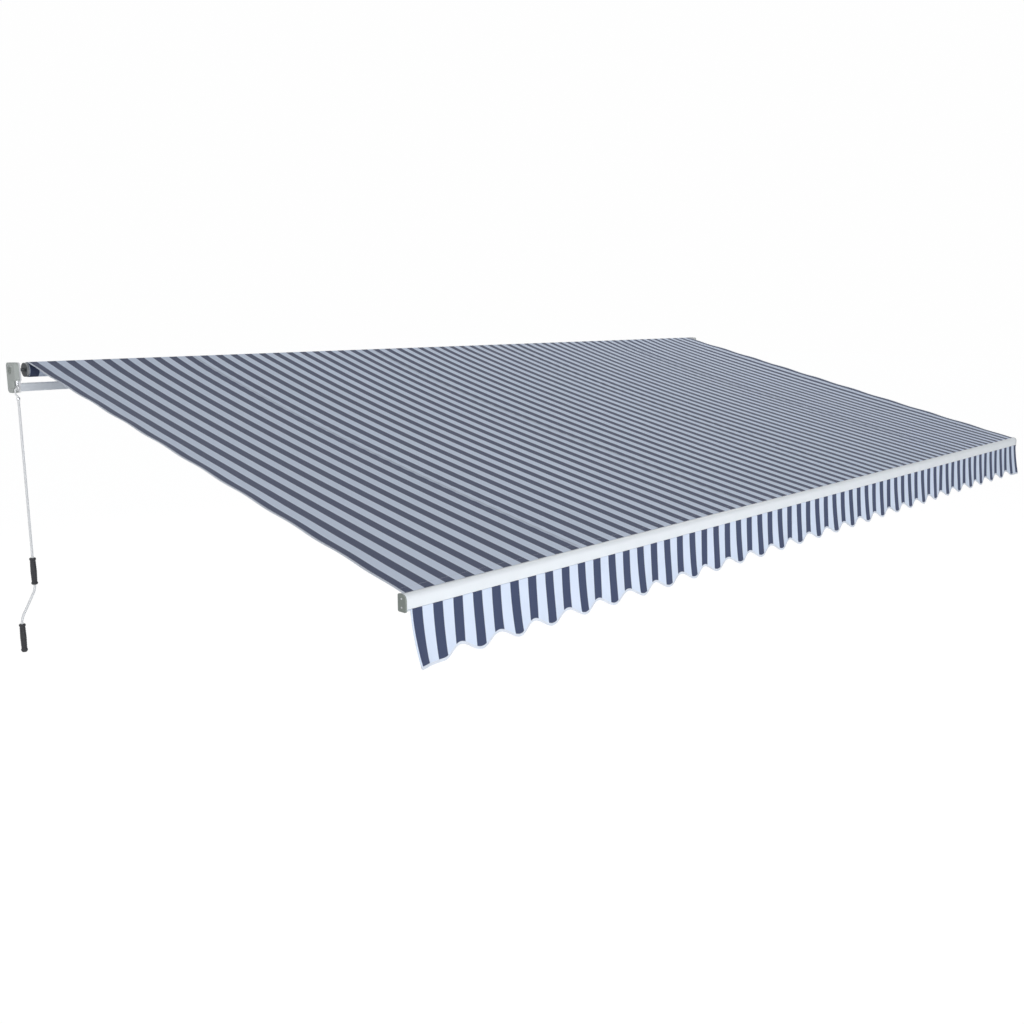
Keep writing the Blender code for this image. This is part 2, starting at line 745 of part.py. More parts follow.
def make_pin(name, radius, reach, centre, holder, along="Z"):
    """A plain pin with a low head at each end, both clear of what they hold."""
    head = radius + pin_head_reach
    edge = reach + fit
    top = edge + pin_head
    profile = [(0, top), (head, top), (head, edge), (radius, edge),
               (radius, -edge), (head, -edge), (head, -top), (0, -top)]
    item = make_turned(name, profile, centre, bare_steel, 18)
    if along == "X":
        item.rotation_euler = (0, math.pi / 2, 0)
    item.parent = holder
    return item


def bored(item, radius, centre, along="Z", length=0.3, sides=20):
    """Cut a round hole through a piece that shares the hole's parent."""
    tool = make_cylinder("bore", radius, length, centre, bare_steel, along, sides)
    tool.parent = item.parent
    combine(item, tool, "DIFFERENCE")


def make_shoulder(label, side, pitch_holder):
    """The mount on the torsion bar, and the knuckle that tilts in it."""
    x = side * arm_x
    half = bar_side / 2
    ring = half + fit + mount_wall
    outer = rounded_box(bar_y - ring, bar_y + ring, -ring, ring, [0.006] * 4, 3)
    inner = rounded_box(bar_y - half - fit, bar_y + half + fit, -half - fit, half + fit,
                        [0.001] * 4, 1)
    mount = make_extrusion("shoulder_mount_" + label, [outer, inner], mount_length, (x, 0, 0),
                           cast_paint, "X")
    ear_radius = pitch_pin_radius + ear_wall
    root = bar_y - half - fit - 0.004
    ear = (arc((pitch_pin.y, pitch_pin.z), ear_radius, 110, 250, 7)
           + [(root, -ring + 0.004), (root, ring - 0.006)])
    ear_x = knuckle_barrel_length / 2 + fit * 2 + ear_thickness / 2
    for hand in (-1, 1):
        wing = make_extrusion("ear", [ear], ear_thickness, (x + hand * ear_x, 0, 0),
                              cast_paint, "X")
        combine(mount, wing, "UNION")
    bored(mount, pitch_pin_radius + running, (x, pitch_pin.y, pitch_pin.z), "X")
    make_pin("pitch_pin_" + label, pitch_pin_radius, ear_x + ear_thickness / 2,
             (x, pitch_pin.y, pitch_pin.z), None, "X")

    barrel = make_cylinder("knuckle_" + label, knuckle_barrel_radius, knuckle_barrel_length,
                           (0, 0, 0), cast_paint, "X", 20)
    barrel.parent = pitch_holder
    level = shoulder_eye_height / 2 + running + knuckle_lug / 2
    lug = (arc((0, -shoulder_ahead), knuckle_lug_radius, 180, 360, 8)
           + [(knuckle_lug_radius, -knuckle_barrel_radius * 0.2),
              (-knuckle_lug_radius, -knuckle_barrel_radius * 0.2)])
    for hand in (-1, 1):
        plate = make_extrusion("lug", [lug], knuckle_lug, (0, 0, hand * level), cast_paint)
        plate.parent = pitch_holder
        combine(barrel, plate, "UNION")
    web_front = shoulder_ahead - shoulder_eye_radius - web_clear
    web = make_box("web", (2 * knuckle_lug_radius, web_front, 2 * level),
                   (0, -web_front / 2, 0), cast_paint)
    web.parent = pitch_holder
    combine(barrel, web, "UNION")
    bored(barrel, pitch_pin_radius + running, (0, 0, 0), "X")
    bored(barrel, shoulder_pin_radius + running, (0, -shoulder_ahead, 0))
    return level + knuckle_lug / 2


def make_arm(label, side):
    """One folding arm: knuckle, upper arm, elbow, forearm and its pin on the front bar."""
    inward = -side
    pitch_holder = make_empty("pitch_axis_" + label, pitch_pin + Vector((side * arm_x, 0, 0)),
                              None, (arm_slope, 0, 0))
    knuckle_reach = make_shoulder(label, side, pitch_holder)
    shoulder = make_empty("shoulder_axis_" + label, (0, -shoulder_ahead, 0), pitch_holder,
                          (0, 0, inward * rest_angle))
    make_pin("shoulder_pin_" + label, shoulder_pin_radius, knuckle_reach,
             (0, -shoulder_ahead, 0), pitch_holder)

    half_upper = upper_tube[0] / 2
    casting = make_extrusion("shoulder_casting_" + label,
                             [link_outline(shoulder_eye_radius, half_upper, shoulder_casting, inward)],
                             shoulder_eye_height, (0, 0, 0), cast_paint)
    tongue = make_tube_tongue("tongue", upper_tube, shoulder_casting, inward, cast_paint)
    parent_to(shoulder, casting, tongue)
    combine(casting, tongue, "UNION")
    bored(casting, shoulder_pin_radius + running, (0, 0, 0))

    upper_length = link_length - shoulder_casting - elbow_casting - 2 * fit
    upper_middle = -(shoulder_casting + fit + upper_length / 2)
    make_arm_tube("upper_arm_tube_" + label, upper_tube, upper_length, upper_middle, inward,
                  shoulder)

    elbow_end = make_empty("elbow_seat_" + label, (0, -link_length, 0), shoulder,
                           (0, 0, math.pi))
    lug_level = fore_tube[1] / 2 + running + elbow_lug
    fork = make_extrusion("elbow_fork_" + label,
                          [link_outline(elbow_lug_radius, half_upper, elbow_casting, -inward)],
                          2 * lug_level, (0, 0, 0), cast_paint)
    tongue = make_tube_tongue("tongue", upper_tube, elbow_casting, -inward, cast_paint)
    parent_to(elbow_end, fork, tongue)
    slot = make_cylinder("slot", elbow_slot_radius, fore_tube[1] + 2 * running, (0, 0, 0),
                         cast_paint, "Z", 48)
    slot.parent = elbow_end
    combine(fork, slot, "DIFFERENCE")
    combine(fork, tongue, "UNION")
    bored(fork, elbow_pin_radius + fit, (0, 0, 0))
    make_pin("elbow_pin_" + label, elbow_pin_radius, lug_level, (0, -link_length, 0), shoulder)

    elbow = make_empty("elbow_axis_" + label, (0, -link_length, 0), shoulder,
                       (0, 0, -2 * inward * rest_angle))
    half_fore = fore_tube[0] / 2
    eye = make_extrusion("elbow_eye_" + label,
                         [link_outline(elbow_eye_radius, half_fore, elbow_casting, inward)],
                         fore_tube[1], (0, 0, 0), cast_paint)
    tongue = make_tube_tongue("tongue", fore_tube, elbow_casting, inward, cast_paint)
    parent_to(elbow, eye, tongue)
    combine(eye, tongue, "UNION")
    bored(eye, elbow_pin_radius + running, (0, 0, 0))

    fore_length = link_length - elbow_casting - front_casting - 2 * fit
    fore_middle = -(elbow_casting + fit + fore_length / 2)
    make_arm_tube("forearm_tube_" + label, fore_tube, fore_length, fore_middle, inward, elbow)

    front_end = make_empty("front_seat_" + label, (0, -link_length, 0), elbow, (0, 0, math.pi))
    tip = make_extrusion("front_eye_" + label,
                         [link_outline(front_eye_radius, half_fore, front_casting, -inward)],
                         front_eye_height, (0, 0, 0), cast_paint)
    tongue = make_tube_tongue("tongue", fore_tube, front_casting, -inward, cast_paint)
    parent_to(front_end, tip, tongue)
    combine(tip, tongue, "UNION")
    open_pivot = running if side < 0 else 4 * running
    bored(tip, front_pin_radius + open_pivot, (0, 0, 0))


def make_front_fork(label, side):
    """The fork on the back of the front bar that holds the forearm's pin."""
    holder = make_empty("front_axis_" + label, front_pin + Vector((side * arm_x, 0, 0)),
                        None, (arm_slope, 0, 0))
    width, thick, height = front_plate
    plate_z = front_pin.z - front_pin_back * math.tan(arm_slope)
    plate = make_box("front_fork_" + label, (width, thick, height),
                     (side * arm_x, front_back_y + fit + thick / 2, plate_z), cast_paint, 0.002)
    level = front_eye_height / 2 + running + front_lug / 2
    reach = front_pin_back / math.cos(arm_slope) - thick / 2
    lug = (arc((0, 0), front_lug_radius, 0, 180, 8)
           + [(-front_lug_radius - front_lug_flare, -reach),
              (front_lug_radius + front_lug_flare, -reach)])
    for hand in (-1, 1):
        cheek = make_extrusion("cheek", [lug], front_lug, (0, 0, hand * level), cast_paint)
        cheek.parent = holder
        combine(plate, cheek, "UNION")
    hole = make_cylinder("bore", front_pin_radius + fit, 0.2, (0, 0, 0), cast_paint, "Z", 20)
    hole.parent = holder
    combine(plate, hole, "DIFFERENCE")
    make_pin("front_pin_" + label, front_pin_radius, level + front_lug / 2, (0, 0, 0), holder)


# Front bar, caps and welts

def groove_points(mouth, inward_angle):
    """The outline of an open keyhole groove, from one lip to the other, as (y, z)."""
    half_neck = math.degrees(math.asin(groove_neck / 2 / groove_radius))
    facing = inward_angle + 180
    return arc(mouth, groove_radius, facing - half_neck, facing - 360 + half_neck, 12)


def front_bar_section():
    """The bar's outline with its two grooves, and the chamber inside it."""
    front, back = front_face_y, front_back_y
    top, low = front_top_z, front_top_z - front_bar_height
    half_neck = groove_neck / 2
    cloth_y = front + cloth_groove_back
    cloth_centre = (cloth_y, top - groove_deep)
    valance_z = top - valance_groove_down
    valance_centre = (front + groove_deep, valance_z)
    nose, edge = front_bar_nose, front_bar_edge
    outline = arc((back - edge, top - edge), edge, 0, 90, 4)
    outline += [(cloth_y + half_neck, top)]
    outline += groove_points(cloth_centre, 270)
    outline += [(cloth_y - half_neck, top)]
    outline += arc((front + nose, top - nose), nose, 90, 180, 8)
    outline += [(front, valance_z + half_neck)]
    outline += groove_points(valance_centre, 0)
    outline += [(front, valance_z - half_neck)]
    outline += arc((front + edge, low + edge), edge, 180, 270, 4)
    outline += arc((back - edge, low + edge), edge, 270, 360, 4)
    clear = groove_deep + groove_radius + front_bar_wall
    chamber = rounded_box(front + clear, back - front_bar_wall, low + front_bar_wall,
                          top - clear, [0.004, 0.004, 0.004, 0.010], 3)
    return outline, chamber, cloth_centre, valance_centre


def make_front_bar():
    outline, chamber, cloth_centre, valance_centre = front_bar_section()
    length = cloth_width + 2 * front_bar_overhang
    make_extrusion("front_bar", [outline, chamber], length, (0, 0, 0), white_paint, "X")
    for label, side in (("left", -1), ("right", 1)):
        shape = rounded_box(front_face_y - 0.001, front_back_y + 0.001,
                            front_top_z - front_bar_height - 0.001, front_top_z + 0.001,
                            [front_bar_edge, front_bar_edge, front_bar_edge, front_bar_nose], 4)
        cap = make_extrusion("front_cap_" + label, [shape], front_cap,
                             (side * (length / 2 + fit + front_cap / 2), 0, 0), cap_plastic, "X")
        rounding = cap.modifiers.new("rounded", "BEVEL")
        rounding.width = 0.002
        rounding.segments = 2
        rounding.limit_method = "ANGLE"
        rounding.angle_limit = math.radians(60)
    for name, (y, z) in (("cloth_welt", cloth_centre), ("valance_welt", valance_centre)):
        make_cylinder(name, welt_radius, cloth_width, (0, y, z), welt_cord, "X", 12)


# Cloth and valance

def sag_at(x, share):
    """How far the cloth hangs below a flat sheet: nothing at its four edges."""
    across = 1 - abs(2 * x / cloth_width) ** 10
    along = math.sin(math.pi * share ** 0.85)
    return cloth_sag * across * along


def make_cloth_sheet():
    """The open cloth, from the top of the roll down into the front bar's groove."""
    columns, rows = 14, 8
    mesh = bpy.data.meshes.new("fabric_sheet")
    build = bmesh.new()
    bmesh.ops.create_grid(build, x_segments=columns, y_segments=rows, size=0.5)
    tuck = cloth_gauge
    for vertex in build.verts:
        x = vertex.co.x * cloth_width
        share = 0.5 - vertex.co.y
        place = cloth_start + slope_dir * (cloth_run * share) - slope_up * sag_at(x, share)
        if share > 0.9999:
            place = Vector((0, front_face_y + cloth_groove_back, front_top_z + tuck))
        vertex.co = (x, place.y, place.z)
    build.to_mesh(mesh)
    build.free()
    item = add_object("fabric_sheet", mesh, striped_cloth)
    wall = item.modifiers.new("thickness", "SOLIDIFY")
    wall.thickness = cloth_gauge
    wall.offset = 0


def make_valance():
    """The scalloped valance: every second dark band is longer, and the cloth waves."""
    columns, rows = 3 * (stripe_count - 1) // 2, 3
    mesh = bpy.data.meshes.new("valance")
    build = bmesh.new()
    bmesh.ops.create_grid(build, x_segments=columns, y_segments=rows, size=0.5)
    top_z = front_top_z - valance_groove_down
    face_y = front_face_y - fit - valance_gauge / 2
    for vertex in build.verts:
        x = vertex.co.x * cloth_width
        share = 0.5 - vertex.co.y
        phase = 2 * math.pi * (x + cloth_width / 2 - band / 2) / scallop
        drop = (valance_short + valance_long) / 2 - (valance_long - valance_short) / 2 * math.cos(phase)
        swing = share ** valance_curve
        wave = valance_wave * swing * (1 + math.sin(phase + 0.6) * 0.9)
        y = face_y - valance_lean * swing - wave
        vertex.co = (x, y, top_z - drop * share)
    build.to_mesh(mesh)
    build.free()
    item = add_object("valance", mesh, striped_cloth)
    wall = item.modifiers.new("thickness", "SOLIDIFY")
    wall.thickness = valance_gauge
    wall.offset = 0


make_torsion_bar()
for bracket_label, bracket_place in zip(bracket_names, bracket_x):
    make_wall_bracket(bracket_label, bracket_place)
make_roller()
make_end("left", -1)
make_end("right", 1)
make_worm_eye()
make_crank()
for arm_label, arm_side in (("left", -1), ("right", 1)):
    make_arm(arm_label, arm_side)
    make_front_fork(arm_label, arm_side)
make_front_bar()
make_cloth_sheet()
make_valance()
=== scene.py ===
import json
import math

import bpy
import numpy as np
from mathutils import Matrix, Vector


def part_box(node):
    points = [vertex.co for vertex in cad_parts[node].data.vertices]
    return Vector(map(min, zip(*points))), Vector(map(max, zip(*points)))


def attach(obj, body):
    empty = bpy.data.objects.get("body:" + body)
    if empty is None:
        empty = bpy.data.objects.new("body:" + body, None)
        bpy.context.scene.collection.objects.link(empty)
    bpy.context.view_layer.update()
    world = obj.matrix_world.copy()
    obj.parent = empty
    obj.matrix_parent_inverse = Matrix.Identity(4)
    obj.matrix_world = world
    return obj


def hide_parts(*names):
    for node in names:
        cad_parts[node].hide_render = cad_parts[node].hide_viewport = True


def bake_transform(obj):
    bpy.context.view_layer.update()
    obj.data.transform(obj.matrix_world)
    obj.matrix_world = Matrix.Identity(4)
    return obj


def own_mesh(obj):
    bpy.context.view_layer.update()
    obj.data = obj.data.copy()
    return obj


# Folding arm awning with a striped cloth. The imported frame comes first, the looks follow.
# Metres, +Z up, wall at y = 0, awning opens towards -Y, right is +X.

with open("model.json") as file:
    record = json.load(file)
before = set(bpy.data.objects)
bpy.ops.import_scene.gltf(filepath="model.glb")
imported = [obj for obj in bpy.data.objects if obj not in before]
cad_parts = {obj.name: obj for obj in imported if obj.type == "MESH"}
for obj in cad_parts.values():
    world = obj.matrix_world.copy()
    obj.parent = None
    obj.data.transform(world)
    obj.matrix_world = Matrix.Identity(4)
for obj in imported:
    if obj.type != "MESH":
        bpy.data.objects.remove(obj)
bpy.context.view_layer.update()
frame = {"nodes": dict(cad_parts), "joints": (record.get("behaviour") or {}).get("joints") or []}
joints = {joint["name"]: joint for joint in frame["joints"]}
print("frame loaded:", len(frame["nodes"]), "nodes")


def jointPlace(name):
    return Vector(joints[name]["pos_m"])


def corners(name):
    low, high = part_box(name)
    return Vector(low), Vector(high)


# Places that the looks take from the frame
rollAxis = jointPlace("roller_spin")
crankEye = jointPlace("worm_spin")
barLow, barHigh = corners("front_bar")
rollLow, rollHigh = corners("fabric_roll")
rollRadius = rollHigh.z - rollAxis.z
groove = (corners("cloth_welt")[0] + corners("cloth_welt")[1]) / 2
valanceGroove = (corners("valance_welt")[0] + corners("valance_welt")[1]) / 2

# The left arm's plane, and how far both arms pull the front bar back
shoulderPlace, elbowPlace, frontPlace = [jointPlace(name + "_left")
                                         for name in ("fold", "elbow", "front")]
armAlong = (frontPlace - shoulderPlace).normalized()
armUp = Vector(joints["fold_left"]["axis"]).normalized()
linkLength = (elbowPlace - shoulderPlace).length
restAngle = (elbowPlace - shoulderPlace).angle(armAlong)
foldAngle = math.radians(joints["fold_left"]["range_deg"][1])
armTravel = 2 * linkLength * (math.cos(restAngle) - math.cos(restAngle + foldAngle))

cloth = {
    "width": rollHigh.x - rollLow.x,
    "sag": 0.038,            # middle below the edges
    "sagSkew": 0.78,         # below 1 the lowest place is nearer to the wall
    "edgePower": 10,         # how late the sag ends towards the two sides
    "endEase": 14,           # unevenness fades within 1/14 of the run at both ends
    "calmPower": 3,          # swells and valleys fade towards the front
    "swell": 0.0035,
    "gauge": 0.0009,         # thickness of the visible sheet
    "rollGap": 0.0012,       # middle of the sheet above the turns on the roller
    "barGap": 0.0012,        # and above the front bar
    "bands": 121,            # dark and light ones, a dark one at both edges
    "darkShare": 0.48,       # of two bands
    "border": 0.011,         # pale tape sewn along the two sides
    "rearStrip": 0.090,      # length that bends between wall and arms
    "columns": 348,
    "rows": 96,
    "rearRows": 6,
    "seams": (-1.980, -0.698, 0.584, 1.866),
    "seamWidth": 0.020,
    "seamRise": 0.0006,      # a second layer on the seams
    "seamValley": (0.0030, 0.16),     # depth, reach to both sides
    "puckers": (0.0011, 0.075, 0.085),    # height, reach, length
    "edgeWave": (0.0022, 0.05, 0.31),     # height, reach, length
    "tapeRise": 0.0005,
    "gathers": (0.0009, 0.09, 0.062),     # height, reach, width
}
band = cloth["width"] / cloth["bands"]
slope = math.radians(13.14)
for _ in range(3):           # the start moves a little as the slope settles
    slopeUp = Vector((0, -math.sin(slope), math.cos(slope)))
    clothStart = rollAxis + slopeUp * (rollRadius + cloth["rollGap"])
    clothEnd = Vector((0, groove.y, barHigh.z + cloth["barGap"]))
    slope = math.atan2(clothStart.z - clothEnd.z, clothStart.y - clothEnd.y)
slopeAlong = Vector((0, -math.cos(slope), -math.sin(slope)))
clothRun = (clothEnd - clothStart).length


valance = {
    "short": 0.167,          # at the short dark bands
    "long": 0.204,           # at the long ones
    "endHold": 1,            # the free ends stay long as far as this dark band
    "bandShift": 0.007,      # cut on its own, so its bands start a little later
    "gather": 0.010,         # pushed together towards the left end
    "gatherReach": 0.30,
    "lean": 0.012,           # lower edge in front of the upper one
    "wave": 0.0065,          # the long ones stand out further
    "waveShare": 0.95,
    "uneven": (0.0022, 0.0016),    # slow and quick bends of the lower edge
    "curve": 1.3,
    "flare": (0.026, 0.004), # free ends curl forwards at the bottom, left and right
    "flareReach": 0.050,
    "flarePower": 1.6,
    "tipRoll": 0.004,        # the long ones roll up a little to one side at the tip
    "tipPower": 4,
    "gauge": 0.0009,
    "gap": 0.0009,           # middle of the sheet in front of the bar
    "tuck": 0.0045,          # cloth inside the bar's groove
    "binding": 0.009,
    "bindingReach": 1.6,     # thick as far as this, in its widths
    "bindingGauge": 0.0005,
    "bindingRows": (0.95, 0.5, 0.12, 0.0),    # above the edge, in its widths
    "columns": 968,
    "rows": 22,
}


# Materials

def feed(tree, socket, value):
    # a link from another node's socket, or a constant
    if isinstance(value, Signal):
        value = value.socket
    if isinstance(value, bpy.types.NodeSocket):
        tree.links.new(value, socket)
    elif isinstance(value, tuple) and len(value) == 3 and socket.type == "RGBA":
        socket.default_value = (*value, 1.0)
    else:
        socket.default_value = value


def addNode(tree, kind, settings=(), inputs=()):
    # the settings come first, then the values or links of the sockets
    node = tree.nodes.new(kind)
    for key, value in dict(settings).items():
        setattr(node, key, value)
    pairs = inputs.items() if isinstance(inputs, dict) else enumerate(inputs)
    for key, value in pairs:
        feed(tree, node.inputs[key], value)
    return node


class Signal:
    # A value inside a material, so that Python's operators add the maths nodes.
    def __init__(self, recipe, socket):
        self.recipe = recipe
        self.socket = socket

    def maths(self, operation, *others):
        return self.recipe.add("ShaderNodeMath", {"operation": operation}, (self, *others))

    def __add__(self, other):
        return self.maths("ADD", other)

    def __sub__(self, other):
        return self.maths("SUBTRACT", other)

    def __rsub__(self, other):
        return self.recipe.add("ShaderNodeMath", {"operation": "SUBTRACT"}, (other, self))

    def __mul__(self, other):
        return self.maths("MULTIPLY", other)

    __radd__ = __add__
    __rmul__ = __mul__

    def step(self, low, high):
        # 0 below low, 1 above high, straight between them
        return self.recipe.add("ShaderNodeMapRange", {"clamp": True}, (self, low, high, 0.0, 1.0))


class Recipe:
    # One material and its tree.
    def __init__(self, name, colour, roughness, metallic=0.0, **fixed):
        self.material = bpy.data.materials.new(name)
        self.material.use_nodes = True
        self.tree = self.material.node_tree
        self.shader = self.tree.nodes["Principled BSDF"]
        self.set("Base Color", colour)
        self.set("Roughness", roughness)
        self.set("Metallic", metallic)
        for socket, value in fixed.items():
            self.set(socket, value)
        self.material.diffuse_color = (*colour, 1.0)

    def add(self, kind, settings=(), inputs=(), output=0):
        node = addNode(self.tree, kind, settings, inputs)
        return Signal(self, node.outputs[output])

    def set(self, socket, value):
        feed(self.tree, self.shader.inputs[socket.replace("_", " ")], value)

    def split(self, vector):
        node = addNode(self.tree, "ShaderNodeSeparateXYZ", {}, (vector,))
        return [Signal(self, output) for output in node.outputs]

    def place(self):
        return self.add("ShaderNodeTexCoord", output="Object")

    def grain(self, vector, scale, detail, stretch=None):
        if stretch:
            vector = self.add("ShaderNodeVectorMath", {"operation": "MULTIPLY"},
                              (vector, stretch))
        return self.add("ShaderNodeTexNoise", {}, {"Vector": vector, "Scale": scale,
                                                   "Detail": detail, "Roughness": 0.55})

    def mix(self, factor, first, second):
        return self.add("ShaderNodeMix", {"data_type": "RGBA"},
                        {"Factor": factor, "A": first, "B": second}, "Result")

    def tint(self, colour, amount):
        # darkens a colour by a value around 1
        grey = self.add("ShaderNodeCombineXYZ", {}, (amount, amount, amount))
        return self.add("ShaderNodeVectorMath", {"operation": "MULTIPLY"}, (colour, grey))

    def bump(self, height, distance, strength):
        return self.add("ShaderNodeBump", {}, {"Strength": strength, "Distance": distance,
                                               "Height": height})


clothColours = {
    "dark": (0.038, 0.054, 0.118),
    "light": (0.69, 0.775, 0.93),
    "tape": (0.72, 0.77, 0.86),
    "threadPitch": 0.0013,
    "edgeSoftness": 0.0012,
}


def stripes(across, shift=0.0):
    # 0 on the dark bands, 1 on the light ones, a dark one first
    fromMiddle = (across + (cloth["width"] / 2 + band * 1.5 - shift)).maths("PINGPONG", band)
    soft = clothColours["edgeSoftness"]
    darkHalf = band * cloth["darkShare"]
    return fromMiddle.step(darkHalf - soft, darkHalf + soft)


def woven(name):
    # the start of both cloths: crossing threads, and how slubby each one is
    recipe = Recipe(name, clothColours["dark"], 0.86, Sheen_Weight=0.08, Sheen_Roughness=0.5)
    uv = recipe.add("ShaderNodeUVMap", {"uv_map": "cut"})
    across, along, _ = recipe.split(uv)
    turn = 2 * math.pi / clothColours["threadPitch"]
    weave = (across * turn).maths("SINE") * (along * (turn / 1.35)).maths("SINE")
    slub = recipe.grain(uv, 900.0, 2.0, (1.0, 0.06, 1.0))
    recipe.set("Roughness", 0.80 + slub * 0.10)
    recipe.set("Normal", recipe.bump(weave * 0.5 + slub, 0.00018, 0.35))
    return recipe, uv, across, along, weave, slub


def makeClothMaterial(name, shade=1.0, seams=(), tape=True):
    # Woven bands that run from the wall to the front. The UV map is the flat cut, in metres.
    recipe, uv, across, _, weave, slub = woven(name)
    base = recipe.mix(stripes(across), clothColours["dark"], clothColours["light"])
    if tape:
        inner = cloth["width"] / 2 - cloth["border"]
        onTape = across.maths("ABSOLUTE").step(inner, inner + clothColours["edgeSoftness"])
        base = recipe.mix(onTape, base, clothColours["tape"])
    cloud = recipe.grain(uv, 1.7, 4.0, (1.0, 0.5, 1.0))
    streak = recipe.grain(uv, 26.0, 3.0, (1.0, 0.05, 1.0))
    amount = 0.93 + weave * 0.035 + slub * 0.05 + (cloud - 0.5) * 0.10 + (streak - 0.5) * 0.06
    # darker bands along the seams: painted shade, standing in for less light coming through the
    # double layer
    for seam in seams:
        off = (across - seam).maths("ABSOLUTE")
        half = cloth["seamWidth"] / 2
        amount = amount - (1.0 - off.step(half - 0.001, half)) * 0.17
    # a shade below 1 darkens the whole cloth: painted shade, used for the turns on the roller
    recipe.set("Base Color", recipe.tint(base, amount * shade))
    return recipe.material


def makeValanceMaterial():
    # The same cloth, with a pale binding along the scalloped edge. V counts up from that edge.
    recipe, uv, across, along, weave, slub = woven("valanceCloth")
    base = recipe.mix(stripes(across, valance["bandShift"]), clothColours["dark"],
                      clothColours["light"])
    bound = along.step(valance["binding"], valance["binding"] + clothColours["edgeSoftness"])
    base = recipe.mix(bound, clothColours["tape"], base)
    cloud = recipe.grain(uv, 4.0, 4.0)
    dust = recipe.grain(uv, 18.0, 5.0, (1.0, 0.3, 1.0)) * (1.0 - along.step(0.0, 0.06))
    amount = 0.97 + weave * 0.03 + slub * 0.05 + (cloud - 0.5) * 0.08 - dust * 0.06
    recipe.set("Base Color", recipe.tint(base, amount))
    return recipe.material


def makePaintMaterial(name, colour, roughness, peel=0.00004, dust=0.06):
    # Powder coat: a fine orange peel, a little dust and worn gloss.
    recipe = Recipe(name, colour, roughness, Coat_Weight=0.08, Coat_Roughness=0.3)
    place = recipe.place()
    fine = recipe.grain(place, 1500.0, 2.0)
    film = recipe.grain(place, 9.0, 5.0)
    spots = recipe.grain(place, 140.0, 3.0)
    amount = 1.0 - film * dust - spots.step(0.62, 0.80) * 0.05
    recipe.set("Base Color", recipe.tint(colour, amount))
    recipe.set("Roughness", roughness - 0.05 + film * 0.14)
    recipe.set("Normal", recipe.bump(fine, peel, 0.5))
    return recipe.material


def makeMetalMaterial(name, colour, roughness, stretch, scale=220.0, spangle=0.0):
    recipe = Recipe(name, colour, roughness, 1.0)
    place = recipe.place()
    brushed = recipe.grain(place, scale, 4.0, stretch)
    film = recipe.grain(place, 14.0, 4.0)
    amount = 0.90 + brushed * 0.14 - film * 0.10
    if spangle:
        cells = recipe.add("ShaderNodeTexVoronoi", {}, {"Vector": place, "Scale": 90.0}, "Color")
        amount = amount + (recipe.split(cells)[0] - 0.5) * spangle
    recipe.set("Base Color", recipe.tint(colour, amount))
    recipe.set("Roughness", roughness - 0.06 + brushed * 0.14)
    recipe.set("Normal", recipe.bump(brushed, 0.00005, 0.4))
    return recipe.material


def makePlasticMaterial(name, colour, roughness, grainScale=900.0, depth=0.00008):
    recipe = Recipe(name, colour, roughness)
    place = recipe.place()
    pebble = recipe.add("ShaderNodeTexVoronoi", {"feature": "SMOOTH_F1"},
                        {"Vector": place, "Scale": grainScale}, "Distance")
    film = recipe.grain(place, 22.0, 5.0)
    scuff = recipe.grain(place, 60.0, 6.0, (1.0, 1.0, 4.0)).step(0.60, 0.72)
    amount = 0.94 + film * 0.12 + scuff * 0.10
    recipe.set("Base Color", recipe.tint(colour, amount))
    recipe.set("Roughness", roughness - 0.06 + film * 0.12 - scuff * 0.08)
    recipe.set("Normal", recipe.bump(pebble, depth, 0.6))
    return recipe.material


awningCloth = makeClothMaterial("awningCloth", 1.0, cloth["seams"])
# the turns on the roller: the same cloth darkened to 0.80, painted shade for the shadow they lie in
# under the open cloth, and without the side tape
paintedShadeRollCloth = makeClothMaterial("paintedShadeRollCloth", 0.80, (), False)
valanceCloth = makeValanceMaterial()
whitePowder = makePaintMaterial("whitePowder", (0.82, 0.86, 0.90), 0.36)
castPowder = makePaintMaterial("castPowder", (0.80, 0.81, 0.83), 0.48, 0.00012, 0.10)
crankEnamel = makePaintMaterial("crankEnamel", (0.86, 0.87, 0.88), 0.42, 0.000004)
housingPlastic = makePlasticMaterial("housingPlastic", (0.44, 0.47, 0.45), 0.50)
capPlastic = makePlasticMaterial("capPlastic", (0.235, 0.262, 0.24), 0.50)
plugPlastic = makePlasticMaterial("plugPlastic", (0.085, 0.092, 0.098), 0.52)
gripRubber = makePlasticMaterial("gripRubber", (0.026, 0.027, 0.032), 0.58, 700.0, 0.00015)
zincSteel = makeMetalMaterial("zincSteel", (0.64, 0.65, 0.67), 0.32, (1.0, 1.0, 0.08))
galvanisedTube = makeMetalMaterial("galvanisedTube", (0.27, 0.28, 0.29), 0.50,
                                   (0.05, 1.0, 1.0), 120.0, 0.14)
weltPlastic = makePlasticMaterial("weltPlastic", (0.74, 0.76, 0.79), 0.45, 1400.0, 0.00003)
sewingThread = makePlasticMaterial("sewingThread", (0.46, 0.50, 0.58), 0.70, 2500.0, 0.00004)
print("materials made:", len(bpy.data.materials))


# CAD nodes that stay keep their shape and get a finish

finishes = (
    (whitePowder, ("torsion_bar", "upper_arm_tube", "forearm_tube", "front_bar")),
    (castPowder, ("wall_bracket", "bracket_clamp", "roller_support", "shoulder_mount", "knuckle",
                  "shoulder_casting", "elbow_fork", "elbow_eye", "front_eye", "front_fork")),
    (housingPlastic, ("gearbox_housing", "idle_bearing_housing")),
    (capPlastic, ("front_cap",)),
    (plugPlastic, ("roller_plug",)),
    (zincSteel, ("bracket_bolt", "pitch_pin", "shoulder_pin", "elbow_pin", "front_pin",
                 "worm_eye")),
    (crankEnamel, ("crank_rod",)),
    (gripRubber, ("upper_grip", "lower_grip")),
    (weltPlastic, ("cloth_welt", "valance_welt")),
    (galvanisedTube, ("roller_tube",)),
)
for name, node in frame["nodes"].items():
    for finish, starts in finishes:
        if name.startswith(starts):
            node.data.materials.clear()
            node.data.materials.append(finish)
print("carried-over nodes finished")


# Helpers for meshes

